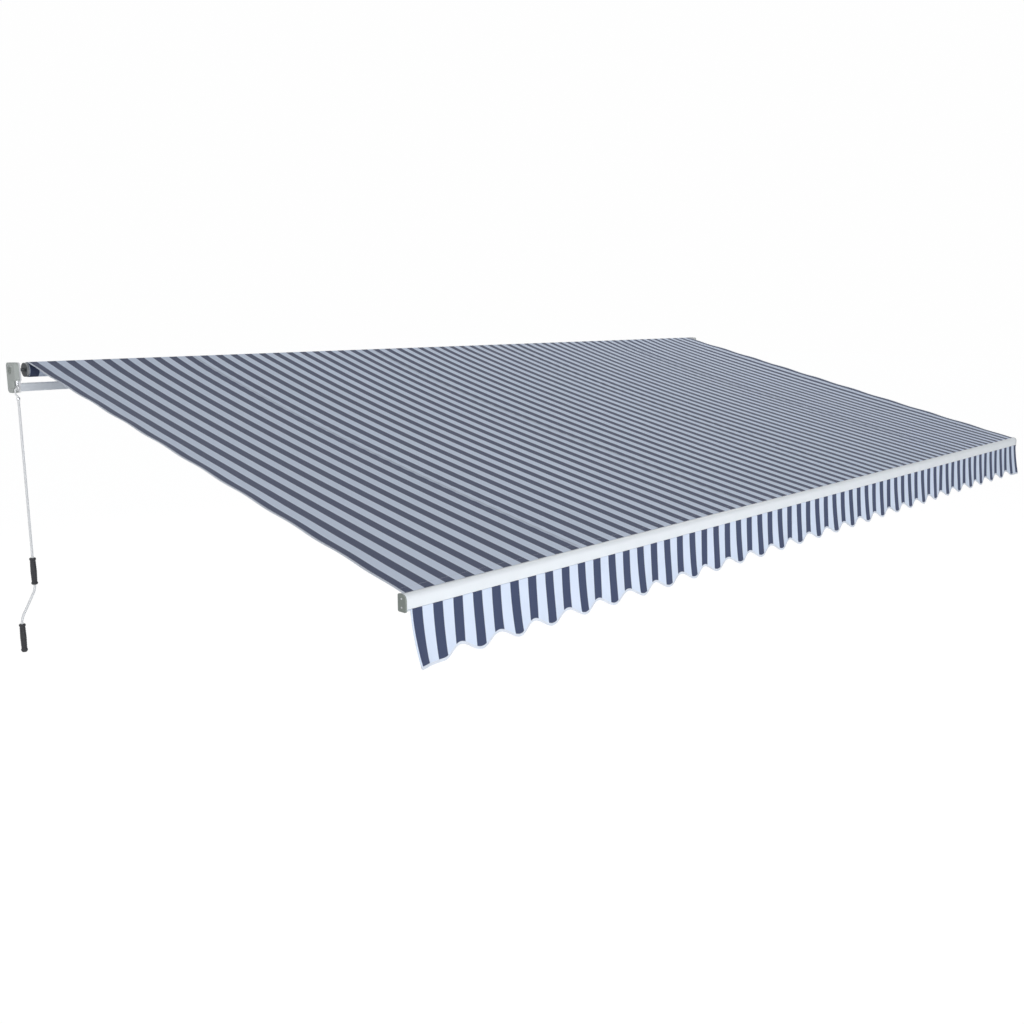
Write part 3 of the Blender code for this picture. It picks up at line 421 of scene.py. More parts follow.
def makePiece(name, mesh, material, body):
    item = bpy.data.objects.new(name, mesh)
    bpy.context.scene.collection.objects.link(item)
    if material:
        mesh.materials.clear()
        mesh.materials.append(material)
    if body:
        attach(item, body)
    return item


def gridMesh(name, points, cut):
    # points and cut are arrays of rows by columns; cut becomes the UV map in metres
    rows, columns, _ = points.shape
    mesh = bpy.data.meshes.new(name)
    index = np.arange(rows * columns).reshape(rows, columns)
    faces = np.stack([index[:-1, :-1], index[1:, :-1], index[1:, 1:], index[:-1, 1:]],
                     axis=-1).reshape(-1, 4)
    mesh.from_pydata(points.reshape(-1, 3).tolist(), [], faces.tolist())
    layer = mesh.uv_layers.new(name="cut")
    flat = cut.reshape(-1, 2)[faces.reshape(-1)]
    layer.data.foreach_set("uv", flat.astype(np.float32).ravel())
    mesh.shade_smooth()
    return mesh


sharpAngles = {"sheetRim": math.radians(60), "turned": math.radians(40)}


def applyModifiers(item):
    bpy.context.view_layer.update()
    graph = bpy.context.evaluated_depsgraph_get()
    finished = bpy.data.meshes.new_from_object(item.evaluated_get(graph))
    item.modifiers.clear()
    item.data = finished
    return item


def thicken(item, gauge):
    wall = item.modifiers.new("wall", "SOLIDIFY")
    wall.thickness = gauge
    wall.offset = 0.0
    applyModifiers(item)
    item.data.set_sharp_from_angle(angle=sharpAngles["sheetRim"])
    return item


# Open cloth

def clothPlace(x, share):
    # a point of the cloth, x across and share from the roller (0) to the front bar (1)
    across = 1 - np.abs(2 * x / cloth["width"]) ** cloth["edgePower"]
    sag = cloth["sag"] * across * np.sin(math.pi * share ** cloth["sagSkew"])
    ease = cloth["endEase"]
    free = np.clip(share * ease, 0, 1) * np.clip((1 - share) * ease, 0, 1)
    run = 2 * math.pi * clothRun * share
    # long soft swells, in no regular step
    calm = 1 - share ** cloth["calmPower"]
    swell = np.sin(1.9 * x + 2.2 * share + 0.4) * np.sin(4.1 * share + 0.7 * x)
    lift = calm * cloth["swell"] * swell
    # shallow valleys at the seams, and small puckers beside them
    depth, reach = cloth["seamValley"]
    height, nearness, length = cloth["puckers"]
    for number, seam in enumerate(cloth["seams"]):
        off = np.abs(x - seam)
        lift -= calm * depth * np.exp(-(off / reach) ** 2)
        lift += height * np.exp(-off / nearness) * np.sin(run / length + 9 * off + 1.7 * number)
        lift += cloth["seamRise"] * (off < cloth["seamWidth"] / 2)
    edge = cloth["width"] / 2 - np.abs(x)
    height, reach, length = cloth["edgeWave"]
    lift += height * np.exp(-edge / reach) * np.sin(run / length)
    lift += cloth["tapeRise"] * (edge < cloth["border"])
    # gathers where the cloth is pulled straight into the front bar
    height, reach, width = cloth["gathers"]
    pull = np.exp(-(1 - share) * clothRun / reach)
    lift += height * pull * np.sin(2 * math.pi * x / width + 1.3 * np.sin(3.1 * x))
    down = sag - lift * free
    y = clothStart.y + slopeAlong.y * clothRun * share - slopeUp.y * down
    z = clothStart.z + slopeAlong.z * clothRun * share - slopeUp.z * down
    return y, z


def clothColumns():
    # evenly spaced columns, with extra ones just inside and outside of seams and side tapes
    half = cloth["width"] / 2
    xs = list(np.linspace(-half, half, cloth["columns"] + 1))
    for middle in cloth["seams"]:
        for side in (-0.5, 0.5):
            step = cloth["seamWidth"] * side
            xs += [middle + step * 0.98, middle + step * 1.04]
    for side in (-1, 1):
        xs += [side * (half - cloth["border"] * 0.97), side * (half - cloth["border"] * 1.03)]
    return np.array(sorted(xs))


def clothPart(name, firstShare, lastShare, rows, reachesBar):
    xs = clothColumns()
    shares = np.linspace(firstShare, lastShare, rows + 1)
    x, share = np.meshgrid(xs, shares)
    y, z = clothPlace(x, share)
    if reachesBar:
        y[-1, :] = clothEnd.y
        z[-1, :] = clothEnd.z
    points = np.stack([x, y, z], axis=-1)
    cut = np.stack([x, share * clothRun], axis=-1)
    item = makePiece(name, gridMesh(name, points, cut), awningCloth, None)
    return thicken(item, cloth["gauge"])


joinShare = cloth["rearStrip"] / clothRun
clothRear = clothPart("cloth_rear", 0.0, joinShare, cloth["rearRows"], False)
clothMain = clothPart("cloth_main", joinShare, 1.0, cloth["rows"], True)
joinPoint = clothStart + slopeAlong * cloth["rearStrip"]
clothKeep = 1 - armTravel / (clothEnd - joinPoint).dot(armAlong)


def foldsWithArms(piece):
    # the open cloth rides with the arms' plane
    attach(piece, "knuckle_left")
    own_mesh(piece)


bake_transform(clothRear)
foldsWithArms(clothMain)
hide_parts("fabric_sheet")
print("open cloth made, keep", round(clothKeep, 4))


# Turns of cloth on the roller

roll = {
    "tubeRadius": 0.0353,
    "outerRadius": 0.0372,
    "layer": 0.00056,
    "gaugeShare": 0.82,      # cloth in one layer, the rest is air
    "turns": 3.2,
    "stepsPerTurn": 88,
    "columns": 24,
    "offset": 0.0012,        # how far single turns stand out at the ends
    "wave": 0.00012,
}


def makeRoll():
    leave = math.pi / 2 + slope
    steps = int(roll["turns"] * roll["stepsPerTurn"])
    angles = leave - 2 * math.pi * roll["turns"] * np.linspace(0, 1, steps + 1)
    depth = (roll["outerRadius"] - roll["tubeRadius"]) - roll["layer"] / 2
    radii = roll["outerRadius"] - roll["layer"] / 2 - depth * np.linspace(0, 1, steps + 1)
    xs = np.linspace(-cloth["width"] / 2, cloth["width"] / 2, roll["columns"] + 1)
    x = np.tile(xs, (steps + 1, 1))
    shift = roll["offset"] * np.sin(1.7 * angles)
    x[:, 0] += shift
    x[:, -1] += shift
    wave = roll["wave"] * np.sin(5.0 * x + 3.0 * angles[:, None])
    y = rollAxis.y + (radii[:, None] + wave) * np.cos(angles)[:, None]
    z = rollAxis.z + (radii[:, None] + wave) * np.sin(angles)[:, None]
    points = np.stack([x, y, z], axis=-1)
    length = np.concatenate([[0], np.cumsum(np.abs(np.diff(angles)) * radii[1:])])
    cut = np.stack([x, -np.tile(length[:, None], (1, len(xs)))], axis=-1)
    # the turns take the darkened copy of the cloth, with painted shade
    item = makePiece("cloth_roll", gridMesh("cloth_roll", points, cut), paintedShadeRollCloth, None)
    thicken(item, roll["layer"] * roll["gaugeShare"])
    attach(item, "roller")
    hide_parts("fabric_roll")
    return float(length[-1])


rollLength = makeRoll()
print("roll made, cloth on it", round(rollLength, 3))


# Valance

def valanceDrop(x):
    # length of the valance at x: long at every second dark band
    scallop = 4 * band
    outer = cloth["width"] / 2 - band / 2
    fromEnd = np.abs(x - valance["bandShift"] + outer)
    fromOther = np.abs(outer - x + valance["bandShift"])
    hold = valance["endHold"] * 2 * band
    phase = 2 * math.pi * np.maximum(np.minimum(fromEnd, fromOther), hold) / scallop
    mean = (valance["short"] + valance["long"]) / 2
    return mean - (valance["long"] - valance["short"]) / 2 * np.cos(phase), phase


def valancePlace(x, share):
    drop, phase = valanceDrop(x)
    swing = share ** valance["curve"]
    away = valance["lean"] + valance["wave"] * (1 - valance["waveShare"] * np.cos(phase))
    slow, quick = valance["uneven"]
    uneven = slow * np.sin(2.3 * x + 0.6) + quick * np.sin(7.1 * x)
    fromEnd = cloth["width"] / 2 - np.abs(x)
    curl = np.where(x < 0, *valance["flare"])
    near = np.exp(-(fromEnd / valance["flareReach"]) ** 2)
    flare = curl * near * share ** valance["flarePower"]
    side = valance["tipRoll"] * share ** valance["tipPower"] * np.sin(phase * 0.5 + 0.5)
    fromLeft = x + cloth["width"] / 2
    side += valance["gather"] * np.exp(-fromLeft / valance["gatherReach"])
    face = barLow.y - valance["gap"]
    y = face - (away + uneven) * swing - flare
    lift = (away + flare) ** 2 * share / (2 * drop)
    return x + side, y, valanceGroove.z - drop * share + lift, drop


def makeValance():
    half = cloth["width"] / 2
    xs = np.linspace(-half, half, valance["columns"] + 1)
    binding = valance["binding"] / valance["long"]
    shares = np.concatenate([np.linspace(0, 1 - binding * 1.15, valance["rows"] - 3),
                             1 - binding * np.array(valance["bindingRows"])])
    x, share = np.meshgrid(xs, shares)
    x, y, z, drop = valancePlace(x, share)
    inside = np.stack([xs, np.full_like(xs, barLow.y + valance["tuck"]),
                       np.full_like(xs, valanceGroove.z)], axis=-1)
    points = np.concatenate([inside[None], np.stack([x, y, z], axis=-1)])
    up = np.concatenate([(drop[0] + valance["tuck"])[None], (1 - share) * drop])
    cut = np.stack([np.tile(xs, (len(shares) + 1, 1)), up], axis=-1)
    item = makePiece("valance_cloth", gridMesh("valance_cloth", points, cut), valanceCloth,
                     None)
    thicken(item, valance["gauge"])
    # the binding is folded over the edge, so the cloth is thicker there
    mesh = item.data
    places = np.empty(len(mesh.vertices) * 3, np.float32)
    normals = np.empty(len(mesh.vertices) * 3, np.float32)
    mesh.vertices.foreach_get("co", places)
    mesh.vertices.foreach_get("normal", normals)
    places = places.reshape(-1, 3)
    edge = valanceDrop(places[:, 0])[0] - valance["binding"] * valance["bindingReach"]
    low = valanceGroove.z - places[:, 2] > edge
    places += normals.reshape(-1, 3) * (low * valance["bindingGauge"])[:, None]
    mesh.vertices.foreach_set("co", places.ravel())
    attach(item, "front_bar")
    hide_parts("valance")
    area = cloth["width"] * (float(valanceDrop(xs)[0].mean()) + valance["tuck"])


makeValance()
print("valance made")


# Trees that repeat a small shape

class Tree:
    # A Geometry Nodes tree with named inputs. Each run gives one plain mesh.
    def __init__(self, name, **inputs):
        self.group = bpy.data.node_groups.new(name, "GeometryNodeTree")
        face = self.group.interface
        face.new_socket("Geometry", in_out="INPUT", socket_type="NodeSocketGeometry")
        for label, kind in {**inputs, "material": "Material"}.items():
            face.new_socket(label, in_out="INPUT", socket_type="NodeSocket" + kind)
        face.new_socket("Geometry", in_out="OUTPUT", socket_type="NodeSocketGeometry")
        self.start = addNode(self.group, "NodeGroupInput")
        self.end = addNode(self.group, "NodeGroupOutput")

    def given(self, label):
        return self.start.outputs[label]

    def add(self, kind, settings=(), inputs=(), output=0):
        return addNode(self.group, kind, settings, inputs).outputs[output]

    def close(self, instances):
        solid = self.add("GeometryNodeRealizeInstances", {}, {0: instances})
        done = self.add("GeometryNodeSetMaterial", {},
                        {0: solid, "Material": self.given("material")})
        self.group.links.new(done, self.end.inputs[0])

    def run(self, name, mesh, material, body, slotName, **values):
        item = makePiece(name, mesh, None, None)
        step = item.modifiers.new("repeat", "NODES")
        step.node_group = self.group
        values["material"] = material
        for socket in self.group.interface.items_tree:
            if socket.in_out == "INPUT" and socket.name in values:
                step[socket.identifier] = values[socket.name]
        applyModifiers(item)
        if body:
            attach(item, body)
        return item


def pointMesh(name, places, facings, sizes=None):
    # loose points that carry the way each one faces, and how large its shape is
    mesh = bpy.data.meshes.new(name)
    mesh.from_pydata([tuple(place) for place in places], [], [])
    facing = mesh.attributes.new("facing", "FLOAT_VECTOR", "POINT")
    facing.data.foreach_set("vector", np.array([tuple(way) for way in facings],
                                               np.float32).ravel())
    size = mesh.attributes.new("size", "FLOAT", "POINT")
    size.data.foreach_set("value", np.array(sizes or [1.0] * len(places), np.float32))
    return mesh


def pathMesh(name, paths):
    # one open polyline for each list of points
    mesh = bpy.data.meshes.new(name)
    places, edges = [], []
    for path in paths:
        first = len(places)
        places += [tuple(place) for place in path]
        edges += [(first + step, first + step + 1) for step in range(len(path) - 1)]
    mesh.from_pydata(places, edges, [])
    return mesh


def onPoints(tree, shape):
    # the shape on every point, turned to face its way
    facing = tree.add("GeometryNodeInputNamedAttribute", {"data_type": "FLOAT_VECTOR"},
                      {"Name": "facing"})
    size = tree.add("GeometryNodeInputNamedAttribute", {"data_type": "FLOAT"}, {"Name": "size"})
    turn = tree.add("FunctionNodeAlignRotationToVector", {"axis": "Z"}, {"Vector": facing})
    tree.close(tree.add("GeometryNodeInstanceOnPoints", {},
                        {"Points": tree.given("Geometry"), "Instance": shape,
                         "Rotation": turn, "Scale": size}))
    return tree


def cylinder(tree, sides, radius, depth):
    return tree.add("GeometryNodeMeshCylinder", {},
                    {"Vertices": sides, "Radius": tree.given(radius),
                     "Depth": tree.given(depth)})


def raised(tree, shape, height):
    lift = tree.add("ShaderNodeCombineXYZ", {}, {"Z": height})
    return tree.add("GeometryNodeTransform", {}, {"Geometry": shape, "Translation": lift})


def makeScrewTree():
    # a pan head with a six-sided socket
    tree = Tree("screwHeads", headRadius="Float", headHeight="Float", socketRadius="Float")
    topRadius = tree.add("ShaderNodeMath", {"operation": "MULTIPLY"},
                         {0: tree.given("headRadius"), 1: 0.84})
    head = tree.add("GeometryNodeMeshCone", {},
                    {"Vertices": 16, "Radius Top": topRadius,
                     "Radius Bottom": tree.given("headRadius"), "Depth": tree.given("headHeight")})
    hexagon = cylinder(tree, 6, "socketRadius", "headHeight")
    above = raised(tree, hexagon, tree.given("headHeight"))
    cut = tree.add("GeometryNodeMeshBoolean", {"operation": "DIFFERENCE"},
                   {"Mesh 1": head, "Mesh 2": above})
    return onPoints(tree, cut)


def makeBoltTree():
    # a six-sided head on a round washer
    tree = Tree("boltHeads", headRadius="Float", headHeight="Float",
                washerRadius="Float", washerHeight="Float")
    washer = cylinder(tree, 20, "washerRadius", "washerHeight")
    half = tree.add("ShaderNodeMath", {"operation": "MULTIPLY"},
                    {0: tree.given("headHeight"), 1: 0.5})
    head = raised(tree, cylinder(tree, 6, "headRadius", "headHeight"), half)
    both = tree.add("GeometryNodeJoinGeometry", {}, {0: washer})
    tree.group.links.new(head, both.node.inputs[0])
    return onPoints(tree, both)


def makeRivetTree():
    # a low dome
    tree = Tree("rivetHeads", headRadius="Float", domeShare="Float")
    ball = tree.add("GeometryNodeMeshUVSphere", {},
                    {"Segments": 12, "Rings": 6, "Radius": tree.given("headRadius")})
    flat = tree.add("ShaderNodeCombineXYZ", {}, {"X": 1.0, "Y": 1.0, "Z": tree.given("domeShare")})
    dome = tree.add("GeometryNodeTransform", {}, {"Geometry": ball, "Scale": flat})
    smooth = tree.add("GeometryNodeSetShadeSmooth", {}, {0: dome})
    return onPoints(tree, smooth)


def makeRingTree():
    # a round wire bent to a ring
    tree = Tree("gripRings", ringRadius="Float", wireRadius="Float")
    circle = tree.add("GeometryNodeCurvePrimitiveCircle", {},
                      {"Resolution": 24, "Radius": tree.given("ringRadius")})
    wire = tree.add("GeometryNodeCurvePrimitiveCircle", {},
                    {"Resolution": 6, "Radius": tree.given("wireRadius")})
    tube = tree.add("GeometryNodeCurveToMesh", {}, {"Curve": circle, "Profile Curve": wire})
    return onPoints(tree, tube)


def makeStitchTree():
    # short threads laid end to end along every path
    tree = Tree("stitches", pitch="Float", stitchLength="Float", threadRadius="Float")
    curve = tree.add("GeometryNodeMeshToCurve", {}, {0: tree.given("Geometry")})
    spaced = tree.add("GeometryNodeResampleCurve", {"mode": "LENGTH"},
                      {"Curve": curve, "Length": tree.given("pitch")})
    thread = cylinder(tree, 5, "threadRadius", "stitchLength")
    along = tree.add("GeometryNodeInputTangent")
    turn = tree.add("FunctionNodeAlignRotationToVector", {"axis": "Z"}, {"Vector": along})
    tree.close(tree.add("GeometryNodeInstanceOnPoints", {},
                        {"Points": spaced, "Instance": thread, "Rotation": turn}))
    return tree


screwTree = makeScrewTree()
boltTree = makeBoltTree()
rivetTree = makeRivetTree()
ringTree = makeRingTree()
stitchTree = makeStitchTree()


# Seams, hems and the bound edge of the valance

stitches = {
    "pitch": 0.0062,
    "stitchLength": 0.0047,
    "threadRadius": 0.00028,
    "fromMiddle": 0.0066,    # two rows on each seam
    "fromEdge": 0.0070,      # one row on each side tape
    "hemBack": 0.032,        # pocket of the welt, behind the front bar
    "steps": 420,
    "lastShare": 0.992,      # the seams' rows end just before the bar's groove
    "proud": 0.4,            # middle of a thread above the cloth's face, in its radii
    "hemInset": 0.004,
    "bindingInset": 0.003,
    "bindingShare": 0.74,
}


def sewn(name, paths, body):
    return stitchTree.run(name, pathMesh(name, paths), sewingThread, body, "striped_cloth",
                          pitch=stitches["pitch"], stitchLength=stitches["stitchLength"],
                          threadRadius=stitches["threadRadius"])


def bothFaces(xs, ys, zs, normal, gauge):
    # the same path on the upper and on the lower face
    off = normal * (gauge / 2 + stitches["threadRadius"] * stitches["proud"])
    return [[(x, y + side * off.y, z + side * off.z) for x, y, z in zip(xs, ys, zs)]
            for side in (1, -1)]


def makeClothSeams():
    shares = np.linspace(joinShare, stitches["lastShare"], stitches["steps"])
    half = cloth["width"] / 2
    rows = [seam + side * stitches["fromMiddle"] for seam in cloth["seams"] for side in (-1, 1)]
    edges = [side * (half - stitches["fromEdge"]) for side in (-1, 1)]
    for name, places in (("seam_stitches", rows), ("side_stitches", edges)):
        paths = []
        for x in places:
            xs = np.full_like(shares, x)
            paths += bothFaces(xs, *clothPlace(xs, shares), slopeUp, cloth["gauge"])
        foldsWithArms(sewn(name, paths, None))
    half -= stitches["hemInset"]
    xs = np.linspace(-half, half, stitches["steps"])
    share = np.full_like(xs, 1 - stitches["hemBack"] / clothRun)
    foldsWithArms(sewn("hem_stitches",
                       bothFaces(xs, *clothPlace(xs, share), slopeUp, cloth["gauge"]), None))


def makeValanceSeam():
    half = cloth["width"] / 2 - stitches["bindingInset"]
    xs = np.linspace(-half, half, stitches["steps"] * 4)
    share = 1 - valance["binding"] * stitches["bindingShare"] / valanceDrop(xs)[0]
    x, y, z, _ = valancePlace(xs, share)
    sewn("valance_stitches",
         bothFaces(x, y, z, Vector((0, -1, 0)), valance["gauge"] + 2 * valance["bindingGauge"]),
         "front_bar")


makeClothSeams()
makeValanceSeam()
print("seams sewn")


# Fasteners, caps and grips

fasteners = {
    "housingInset": 0.018,       # screws from the edges of the end plates
    "lowFront": 0.027,           # end plate's lower front edge, before the roller's axis
    "housingSunk": 0.003,
    "housingScrew": (0.0052, 0.0024, 0.0024),
    "capScrew": (0.0034, 0.0016, 0.0016),
    "capInset": 0.015,           # above and below the edges of the front bar
    "forkScrew": (0.0044, 0.0028, 0.0020),
    "forkScrewPlace": (0.032, 0.015),
    "forkPlate": 0.0123,         # front face of the plate, behind the bar
    "forkPinBack": 0.072,
    "mountBolt": (0.0075, 0.0060, 0.0090, 0.0016),
    "mountBoltSpread": 0.036,
    "rivet": (0.0036, 0.42),
    "rivetsFromEnd": (0.012, 0.033),
    "tubeBeside": 0.030,         # middle of a tube beside the line through its pins
    "upperTube": (0.115, 0.120, 0.040),   # castings at both ends, height
    "foreTube": (0.120, 0.100, 0.034),
}


def screws(name, body, places, facings, sizes):
    radius, height, socket = sizes
    screwTree.run(name, pointMesh(name, places, facings), zincSteel, body, "bare_steel",
                  headRadius=radius, headHeight=height, socketRadius=socket)


def makeHousingScrews():
    low, high = corners("roller_support_left")
    outer = corners("gearbox_housing")[0].x + fasteners["housingSunk"]
    inset = fasteners["housingInset"]
    lowFront = rollAxis.y - fasteners["lowFront"] + inset
    spots = [(high.y - inset, high.z - inset), (low.y + inset, high.z - inset),
             (high.y - inset, low.z + inset), (lowFront, low.z + inset)]
    places = [(side * -outer, y, z) for side in (-1, 1) for y, z in spots]
    facings = [(side, 0, 0) for side in (-1, 1) for _ in spots]
    screws("housing_screws", "root", places, facings, fasteners["housingScrew"])


def makeFrontScrews():
    outer = corners("front_cap_right")[1].x
    middle = (barLow.y + barHigh.y) / 2
    inset = fasteners["capInset"]
    levels = (barHigh.z - inset, barLow.z + inset)
    places = [(side * outer, middle, z) for side in (-1, 1) for z in levels]
    facings = [(side, 0, 0) for side in (-1, 1) for _ in levels]
    screws("cap_screws", "front_bar", places, facings, fasteners["capScrew"])
    plateZ = frontPlace.z - fasteners["forkPinBack"] * math.tan(armAlong.z / armAlong.y)
    across, up = fasteners["forkScrewPlace"]
    places = [(arm * frontPlace.x + side * across, barHigh.y + fasteners["forkPlate"],
               plateZ + level * up) for arm in (-1, 1) for side in (-1, 1) for level in (-1, 1)]
    screws("fork_screws", "front_bar", places, [(0, 1, 0)] * len(places), fasteners["forkScrew"])


def makeMountBolts():
    under = corners("shoulder_mount_left")[0].z
    places = [(arm * shoulderPlace.x + side * fasteners["mountBoltSpread"], rollAxis.y, under)
              for arm in (-1, 1) for side in (-1, 1)]
    radius, height, washer, thickness = fasteners["mountBolt"]
    boltTree.run("mount_bolts", pointMesh("mount_bolts", places, [(0, 0, -1)] * len(places)),
                 zincSteel, "root", "bare_steel", headRadius=radius, headHeight=height,
                 washerRadius=washer, washerHeight=thickness)


def makeRivets(label, side):
    # side is -1 on the left; the elbows point inwards
    mirror = Matrix.Diagonal((-side, 1, 1))
    start, elbow, end = [mirror @ place for place in (shoulderPlace, elbowPlace, frontPlace)]
    for name, first, last, tube in (("upper_arm_", start, elbow, "upperTube"),
                                    ("forearm_", elbow, end, "foreTube")):
        along = (last - first).normalized()
        inward = armUp.cross(along) * (1 if armUp.cross(along).x * side < 0 else -1)
        near, far, height = fasteners[tube]
        spots = [near + step for step in fasteners["rivetsFromEnd"]]
        spots += [linkLength - far - step for step in fasteners["rivetsFromEnd"]]
        line = first + inward * fasteners["tubeBeside"]
        places = [line + along * spot + armUp * (face * height / 2)
                  for spot in spots for face in (-1, 1)]
        facings = [armUp * face for _ in spots for face in (-1, 1)]
        radius, dome = fasteners["rivet"]
        piece = name + label + "_rivets"
        rivetTree.run(piece, pointMesh(piece, places, facings), zincSteel, name + label,
                      "bare_steel", headRadius=radius, domeShare=dome)


def turned(name, profile, place, facing, material, body, sides=28):
    # a closed solid turned about an axis; the profile of (radius, height) starts and ends on it
    angles = [2 * math.pi * step / sides for step in range(sides)]
    turn = Vector(facing).to_track_quat("Z", "Y")
    points = [Vector((0, 0, profile[0][1])), Vector((0, 0, profile[-1][1]))]
    rings = profile[1:-1]
    points += [Vector((radius * math.cos(angle), radius * math.sin(angle), height))
               for radius, height in rings for angle in angles]
    faces = []
    for step in range(sides):
        after = (step + 1) % sides
        faces.append((0, 2 + after, 2 + step))
        last = 2 + (len(rings) - 1) * sides
        faces.append((1, last + step, last + after))
        for ring in range(len(rings) - 1):
            base = 2 + ring * sides
            faces.append((base + step, base + after, base + sides + after, base + sides + step))
    mesh = bpy.data.meshes.new(name)
    mesh.from_pydata([tuple(turn @ point + Vector(place)) for point in points], [], faces)
    mesh.shade_smooth()
    mesh.set_sharp_from_angle(angle=sharpAngles["turned"])
    return makePiece(name, mesh, material, body)


elbowCap = {
    "radius": 0.0165,
    "height": 0.0032,
    "above": 0.0287,             # fork's outer face above the arms' middle plane
    "dish": 0.0110,
    "dishShares": (0.80, 0.62),  # radius of its flat, and level
    "rimShares": (0.90, 0.70),   # radius of the rim's flat, and level of its outer edge
}


def makeElbowCaps(label, side):
    # low caps on both faces of the fork, with the pin's heads standing in their dishes
    radius, height, dish = [elbowCap[part] for part in ("radius", "height", "dish")]
    flat, level = elbowCap["dishShares"]
    rim, edge = elbowCap["rimShares"]
    profile = [(0, height * level), (dish * flat, height * level), (dish, height),
               (radius * rim, height), (radius, height * edge), (radius, 0), (0, 0)]
    centre = Matrix.Diagonal((-side, 1, 1)) @ elbowPlace
    for way, face in (("top", 1), ("under", -1)):
        turned("elbow_" + label + "_cap_" + way, profile, centre + armUp * face * elbowCap["above"],
               armUp * face, capPlastic, "upper_arm_" + label)


hubCap = {
    "radius": 0.0150,
    "height": 0.0022,
    "dimple": 0.0050,
    "dimpleShares": (1.25, 0.4, 0.9),    # its outer radius, then the levels in and beside it
    "rimShares": (0.88, 0.5, 0.1),       # radius of the flat, level of the edge, part sunk
}


def makeHubs():
    # plugs in the middle of both housings' dials
    radius, height, dimple = [hubCap[part] for part in ("radius", "height", "dimple")]
    wide, deep, beside = hubCap["dimpleShares"]
    rim, edge, sunk = hubCap["rimShares"]
    outer = -corners("gearbox_housing")[0].x
    profile = [(0, height * deep), (dimple, height * deep), (dimple * wide, height * beside),
               (radius * rim, height), (radius, height * edge), (radius, -height * sunk),
               (0, -height * sunk)]
    for label, side in (("left", -1), ("right", 1)):
        turned("housing_hub_" + label, profile, (side * outer, rollAxis.y, rollAxis.z),
               (side, 0, 0), capPlastic, "root")


crank = {
    "rodDrop": 0.0501,           # top of the rod below the ring's middle
    "collarRadius": 0.0086,
    "collarHeight": 0.016,
    "collarAbove": 0.002,        # over the rod's top
    "collarBore": (0.0048, 0.001),       # raised middle round the hook
    "collarEdge": (0.86, 0.15),  # radius of the flats, height of the bevels
    "pinRadius": 0.0020,
    "pinDome": 0.4,
    "pinDrop": 0.4,              # of the collar's height, below the rod's top
    "rings": 9,
    "ringRadius": 0.0136,
    "wireRadius": 0.0011,
    "ringMargin": 0.024,
    "swell": 0.085,              # the grips are thicker in the middle
}


def makeCrankDetails():
    # a collar where the hook enters the rod, and ribs round both grips
    rodTop = crankEye.z - crank["rodDrop"]
    reach, tall = crank["collarRadius"], crank["collarHeight"]
    bore, lip = crank["collarBore"]
    flat, bevel = crank["collarEdge"]
    profile = [(0, lip), (bore, lip), (reach * flat, 0), (reach, -tall * bevel),
               (reach, -tall * (1 - bevel)), (reach * flat, -tall), (0, -tall)]
    turned("crank_collar", profile, (crankEye.x, crankEye.y, rodTop + crank["collarAbove"]),
           (0, 0, 1), zincSteel, "crank")
    pinLevel = rodTop - tall * crank["pinDrop"]
    places = [(crankEye.x, crankEye.y + face * reach, pinLevel) for face in (-1, 1)]
    rivetTree.run("collar_pin", pointMesh("collar_pin", places, [(0, -1, 0), (0, 1, 0)]),
                  zincSteel, "crank", "bare_steel", headRadius=crank["pinRadius"],
                  domeShare=crank["pinDome"])
    for label in ("upper_grip", "lower_grip"):
        low, high = corners(label)
        shares = [step / (crank["rings"] - 1) for step in range(crank["rings"])]
        span = high.z - low.z - 2 * crank["ringMargin"]
        places = [((low.x + high.x) / 2, (low.y + high.y) / 2,
                   low.z + crank["ringMargin"] + span * share) for share in shares]
        sizes = [1 + crank["swell"] * (1 - abs(2 * share - 1)) for share in shares]
        name = label + "_ribs"
        ringTree.run(name, pointMesh(name, places, [(0, 0, 1)] * len(places), sizes),
                     gripRubber, label, "grip_plastic", ringRadius=crank["ringRadius"],
                     wireRadius=crank["wireRadius"])


makeHousingScrews()
makeFrontScrews()
makeMountBolts()
for armLabel, armSide in (("left", -1), ("right", 1)):
    makeRivets(armLabel, armSide)
    makeElbowCaps(armLabel, armSide)
makeHubs()
makeCrankDetails()
print("fasteners, caps and grips made")


# Floor, light and camera

room = {
    "floorBelow": 2.60,
    "floorHalf": 60.0,
    "floorShade": (0.86, 0.86, 0.86),
    "floorGlow": 0.90,       # share of plain white that the camera sees on the floor
    "background": (0.993, 0.993, 0.993),
    "floorWhite": 1.085,     # makes up for the shaded rest, so that no horizon shows
    "skyColour": (0.93, 0.96, 1.0),
    "sky": 0.30,
}


def showToCamera(owner, output, unseen, seen, share):
    # camera and glossy rays get the share of seen, all other light comes from unseen
    owner.use_nodes = True
    tree = owner.node_tree
    tree.nodes.clear()
    path = addNode(tree, "ShaderNodeLightPath").outputs
    either = addNode(tree, "ShaderNodeMath", {"operation": "MAXIMUM"},
                     (path["Is Camera Ray"], path["Is Glossy Ray"]))
    factor = addNode(tree, "ShaderNodeMath", {"operation": "MULTIPLY"},
                     (either.outputs[0], share))
    sides = [addNode(tree, kind, {}, inputs).outputs[0] for kind, inputs in (unseen, seen)]
    blend = addNode(tree, "ShaderNodeMixShader", {}, (factor.outputs[0], *sides))
    addNode(tree, output, {}, {"Surface": blend.outputs[0]})


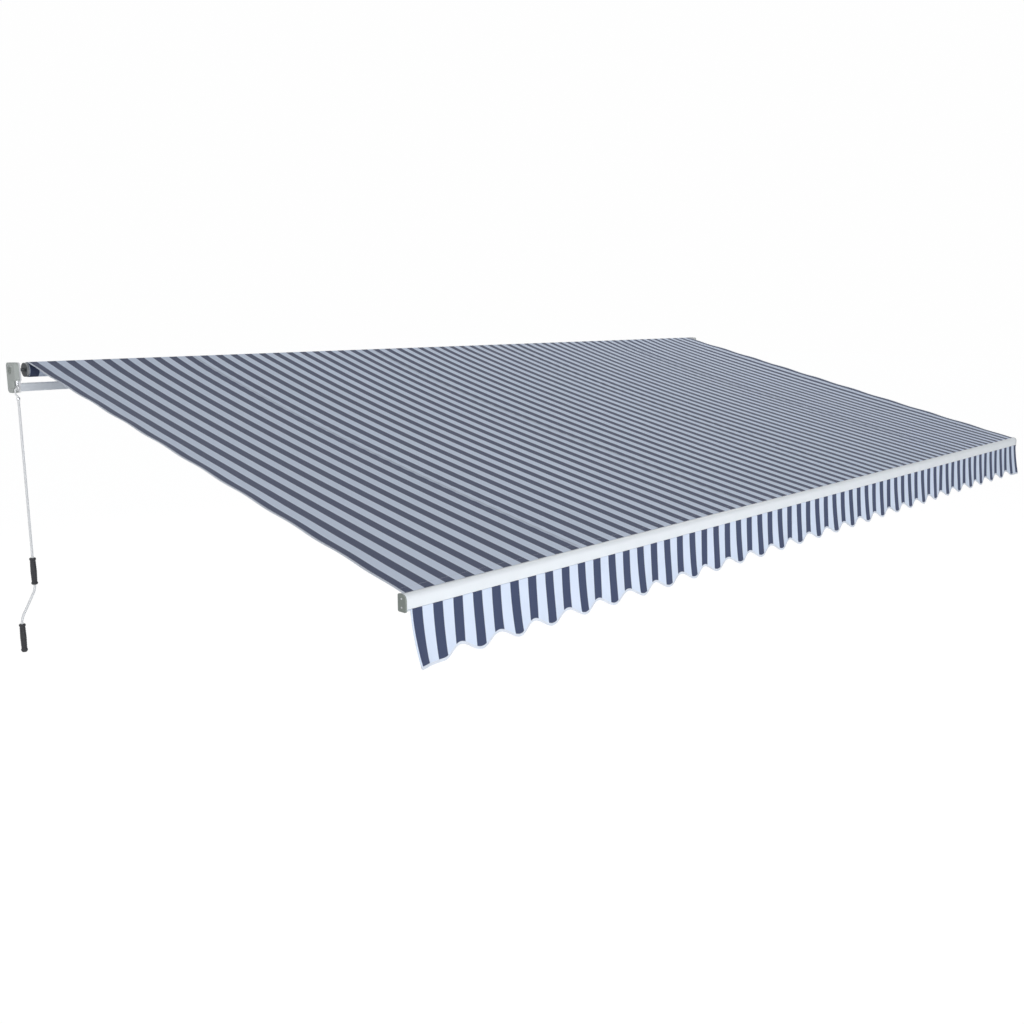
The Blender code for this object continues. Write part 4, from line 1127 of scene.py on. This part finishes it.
def makeFloor():
    size = room["floorHalf"]
    mesh = bpy.data.meshes.new("floor")
    mesh.from_pydata([(-size, -size, 0), (size, -size, 0), (size, size, 0), (-size, size, 0)],
                     [], [(0, 1, 2, 3)])
    floor = bpy.data.objects.new("floor", mesh)
    bpy.context.scene.collection.objects.link(floor)
    mesh.transform(Matrix.Translation((0, 0, -room["floorBelow"])))
    material = bpy.data.materials.new("paleFloor")
    showToCamera(material, "ShaderNodeOutputMaterial",
                 ("ShaderNodeBsdfDiffuse", {"Color": room["floorShade"]}),
                 ("ShaderNodeEmission", {"Color": room["background"],
                                         "Strength": room["floorWhite"]}),
                 room["floorGlow"])
    mesh.materials.append(material)


def makeWorld():
    world = bpy.data.worlds.new("studio")
    bpy.context.scene.world = world
    showToCamera(world, "ShaderNodeOutputWorld",
                 ("ShaderNodeBackground", {"Color": room["skyColour"], "Strength": room["sky"]}),
                 ("ShaderNodeBackground", {"Color": room["background"]}), 1.0)


lamps = {
    "front": {"at": (-3.5, -11.0, 0.0), "to": (0, -1.6, -0.6), "size": 6.0, "power": 500.0},
    "above": {"at": (6.0, 0.5, 5.5), "to": (1.0, -1.5, 0.0), "size": 6.0, "power": 150.0},
    "left": {"at": (-9.0, -2.0, 1.2), "to": (0, -1.5, -0.2), "size": 4.0, "power": 100.0},
    "back": {"at": (3.0, 7.0, 3.0), "to": (0, -1.0, 0.0), "size": 5.0, "power": 110.0},
}


def makeLamp(name, lamp):
    data = bpy.data.lights.new(name, "AREA")
    data.shape = "DISK"
    data.size = lamp["size"]
    data.energy = lamp["power"]
    item = bpy.data.objects.new(name, data)
    bpy.context.scene.collection.objects.link(item)
    item.location = lamp["at"]
    aim = Vector(lamp["to"]) - Vector(lamp["at"])
    item.rotation_euler = aim.to_track_quat("-Z", "Y").to_euler()


view = {
    "place": (-5.1132, -5.4737, 0.3942),
    "yaw": 46.754,           # degrees to the right of straight ahead
    "pitch": 10.990,         # degrees down
    "lens": 37.21,
    "sensor": 36.0,
}


def makeCamera():
    data = bpy.data.cameras.new("photoView")
    data.lens = view["lens"]
    data.sensor_width = view["sensor"]
    data.sensor_fit = "HORIZONTAL"
    camera = bpy.data.objects.new("photoView", data)
    bpy.context.scene.collection.objects.link(camera)
    camera.location = view["place"]
    camera.rotation_euler = (math.radians(90 - view["pitch"]), 0, math.radians(-view["yaw"]))
    bpy.context.scene.camera = camera


makeFloor()
makeWorld()
for lampName, lampSizes in lamps.items():
    makeLamp(lampName, lampSizes)
makeCamera()
bpy.context.scene.view_settings.view_transform = "Standard"
print("floor, lamps and camera placed")
